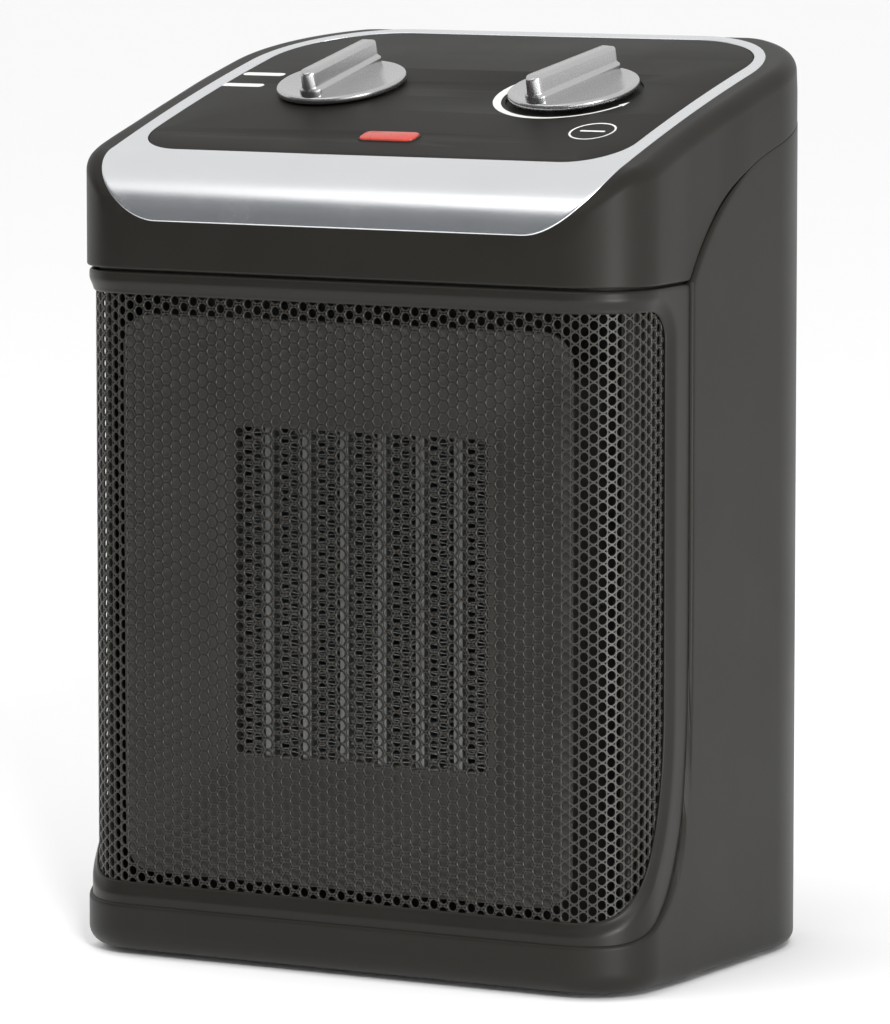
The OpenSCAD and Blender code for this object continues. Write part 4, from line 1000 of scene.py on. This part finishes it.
def window_outline():
    """Window of the bezel in unrolled (s, z)."""
    t = np.linspace(-math.pi / 2, 0, 90)
    sweep = np.stack([np.abs(np.cos(t)), np.abs(np.sin(t))], -1) ** (2 / WINDOW_POWER)
    right = np.stack([S_WINDOW - WINDOW_SWEEP_W + WINDOW_SWEEP_W * sweep[:, 0],
                      WINDOW_LO + WINDOW_SWEEP_H * (1 - sweep[:, 1])], -1)
    upper = arc(S_WINDOW - WINDOW_R_HI, WINDOW_HI - WINDOW_R_HI, WINDOW_R_HI, 0, 90, 20)
    half = np.concatenate([right, upper])
    return np.concatenate([half, (half * np.array([-1, 1]))[::-1]])


def build_grille():
    """Thin sheet with a hexagonal pattern of round holes, bent round both front corners."""
    margin = 2.0
    step = HOLE_PITCH * math.cos(math.pi / 6)
    cols = int((S_WINDOW + margin) / step) + 1
    rows = int((WINDOW_HI - WINDOW_LO) / HOLE_PITCH) + 4
    c, r = np.meshgrid(np.arange(-cols, cols + 1), np.arange(rows), indexing="ij")
    height = WINDOW_LO - margin + (r + 0.5 * (np.abs(c) % 2)) * HOLE_PITCH
    centres = np.stack([c * step, height], -1).reshape(-1, 2)
    x, z = np.abs(centres[:, 0]), centres[:, 1]
    centres = centres[(x < S_WINDOW + margin) & (z > WINDOW_LO - margin) & (z < WINDOW_HI + margin)]
    n = HOLE_SIDES
    turn = np.arange(n) * 360 / n
    unit = np.stack([np.cos(np.radians(turn)), np.sin(np.radians(turn))], -1)
    hexagon = unit * (HOLE_PITCH / 2 / np.cos(np.radians((turn + 30) % 60 - 30)))[:, None]
    rings = [(unit * HOLE_R, GRILLE_T), (unit * HOLE_R, HOLE_CHAMFER), (unit * (HOLE_R + HOLE_CHAMFER), 0.0),
             (hexagon, 0.0), (hexagon, GRILLE_T)]
    flat = np.concatenate([np.concatenate([ring, np.full((n, 1), depth)], 1) for ring, depth in rings])
    cell = [(a * n + i, a * n + (i + 1) % n, b * n + (i + 1) % n, b * n + i)
            for a, b in ((0, 1), (1, 2), (2, 3), (4, 0)) for i in range(n)]
    points = (centres[:, None, :] + flat[None, :, :2]).reshape(-1, 2)
    depth = np.tile(flat[:, 2], len(centres))
    verts = np.concatenate([plan_point(points[:, 0], GRILLE_INSET + depth)[0], points[:, 1:]], 1)
    first = np.arange(len(centres)) * len(flat)
    faces = (np.array(cell)[None] + first[:, None, None]).reshape(-1, 4)
    faces = outward(verts, [tuple(f) for f in faces], np.array([0, 40, BODY_MID]))
    return make("grille_mesh", verts, faces, MATS["grille_steel"], sharp=30)


# ---------- underside ----------

def build_underside():
    """Base plate with its screw holes and the plunger's hole."""
    s = plan_lengths(2.0)
    outline = plan_point(s, fillet(s) + 0.1)[0]
    plate = level("underside_plate", outline, BASE_Z, BASE_Z + BASE_T, MATS["bezel_black"])
    screw_lo, screw_hi = node_box("base_screws")
    tip_lo, tip_hi = node_box("tip_plunger")
    tip_x, tip_y, _ = (tip_lo + tip_hi) / 2
    screw_x, far_y, _ = screw_hi - SCREW_HEAD_R
    screw_ys = screw_lo[1] + SCREW_HEAD_R, far_y
    holes = [circle(side * screw_x, y, SCREW_HOLE_R, 40) for side in (-1, 1) for y in screw_ys]
    holes.append(circle(tip_x, tip_y, TIP_HOLE_R, 48))
    carve(plate, *(level("cut_hole", hole, BASE_Z - 1, BASE_Z + 3, MATS["bezel_black"]) for hole in holes))
    return bevel(plate, 0.3)


FOOT = [(0, 0.25), (2.6, 0.25), (3.0, 0.0), (6.2, 0.0), (6.75, 0.2), (FOOT_R, 0.7), (6.8, 1.9), (0, 2.0)]


def build_foot(number, x_side, y_side):
    """Turned rubber foot with a dimple."""
    x, y, _ = node_box("rubber_feet")[1] - FOOT_R

    def place(a, b, h):
        return np.stack([x_side * x + a, y_side * y + b, h], -1)

    return lathe(f"foot_{number}", FOOT, place, MATS["rubber_black"], 72)


# ---------- build and mount ----------

mount(build_housing(), "body_black", "rear_housing")
mount(build_head(), "body_black", "head_cap")
mount(build_seam_lip(), "dark_plastic")
mount(build_trim(), "silver_trim", "control_trim")
mount(build_panel(), "panel_black", "control_panel")
for mark in build_prints():
    mount(mark, "panel_black")
for body, x, turn in (("selector", -KNOB_X, SELECTOR_TURN), ("thermostat", KNOB_X, THERMOSTAT_TURN)):
    disc, bar, stub = build_knob(f"{body}_grip", x)
    for piece, slot, node in ((disc, "knob_silver", "knob"), (bar, "knob_silver", "knob"),
                              (stub, "zinc_steel", "shaft")):
        turn_piece(piece, x, turn)
        mount(piece, slot, f"{body}_{node}", body=body)
lens, rim = build_lens()
mount(lens, "red_lens", "indicator_lens")
mount(rim, "dark_plastic")
mount(build_bezel(), "bezel_black", "front_bezel")
mount(build_grille(), "grille_steel", "front_grille")
for side in (-1, 1):
    mount(build_liner(side), "bezel_black")
mount(build_duct(), "heat_plastic", "air_duct")
mount(build_fins(), "aluminium", "heater_fins")
mount(build_underside(), "bezel_black", "base_plate")
for i, (x_side, y_side) in enumerate(((-1, -1), (1, -1), (-1, 1), (1, 1))):
    mount(build_foot(i + 1, x_side, y_side), "rubber_black", "rubber_feet")
for name in ("rear_grille", "cord_gland", "base_screws"):
    soften(nodes[name], 0.25)


# ---------- studio ----------

def card(name, corners, colour):
    """Flat matt card of one quad."""
    mat = material(name + "_matt", colour, 0.9, spread=0.004, rough_spread=0.02, blotch_mm=400, grain_mm=30,
                   specular=0.1)
    mesh = bpy.data.meshes.new(name)
    mesh.from_pydata(corners, [], [(0, 1, 2, 3)])
    obj = bpy.data.objects.new(name, mesh)
    bpy.context.scene.collection.objects.link(obj)
    mesh.materials.append(mat)
    return obj


card("studio_floor", [(-30, -30, 0), (30, -30, 0), (30, 40, 0), (-30, 40, 0)], (0.9, 0.9, 0.9))

world = bpy.data.worlds.new("studio")
bpy.context.scene.world = world
world.use_nodes = True
world.node_tree.nodes["Background"].inputs["Color"].default_value = (1.0, 1.0, 1.0, 1)
world.node_tree.nodes["Background"].inputs["Strength"].default_value = 0.78


def lamp(name, kind, energy, where, at=(0, 0, 0.13), size=1.0, size_y=None):
    """Lamp that the camera doesn't see, aimed at a point. A sun's size is its angle."""
    data = bpy.data.lights.new(name, kind)
    data.energy = energy
    if kind == "AREA":
        data.shape, data.size, data.size_y = "RECTANGLE", size, size_y or size
    else:
        data.angle = size
    obj = bpy.data.objects.new(name, data)
    bpy.context.scene.collection.objects.link(obj)
    obj.location = where
    obj.rotation_euler = (Vector(at) - Vector(where)).to_track_quat("-Z", "Y").to_euler()
    obj.visible_camera = False
    return obj


lamp("sky_sun", "SUN", 1.0, (-1.2, -1.0, 3.0), size=math.radians(70)).visible_glossy = False
lamp("inner_key", "AREA", 20.0, (1.0, -1.35, 1.0), size=0.25).visible_glossy = False
lamp("key_right", "AREA", 5.0, (1.25, -0.72, 0.35), size=0.5, size_y=0.5)
lamp("front_soft", "AREA", 4.5, (-0.5, -1.6, 1.75), size=1.6, size_y=0.9)
lamp("low_right", "AREA", 0.9, (0.55, -0.30, 0.035), at=(0.06, -0.05, 0.01), size=0.25, size_y=0.06)

# Grey card that only mirrors see: it darkens the lower part of the silver band
corners = [(-0.74, -0.17, 0.0), (0.30, -0.75, 0.0), (0.30, -0.75, 0.52), (-0.74, -0.17, 0.60)]
grey = card("shade_card", corners, (0.16, 0.165, 0.175))
grey.visible_camera = grey.visible_shadow = grey.visible_diffuse = False

VIEW_AZ, VIEW_EL = math.radians(29.16), math.radians(6.42)
VIEW_DIST, VIEW_LENS = 2.0118, 242.4
VIEW_TARGET = Vector((-0.00231, -0.00295, 0.12712))
back = Matrix.Rotation(VIEW_AZ, 3, "Z") @ Vector((0, -math.cos(VIEW_EL), math.sin(VIEW_EL)))
cam_data = bpy.data.cameras.new("photo_camera")
cam_data.lens, cam_data.sensor_width, cam_data.clip_end = VIEW_LENS, 36.0, 100.0
camera = bpy.data.objects.new("photo_camera", cam_data)
bpy.context.scene.collection.objects.link(camera)
camera.location = VIEW_TARGET + back * VIEW_DIST
camera.rotation_euler = back.to_track_quat("Z", "Y").to_euler()
bpy.context.scene.camera = camera
bpy.context.scene.view_settings.view_transform = "Standard"
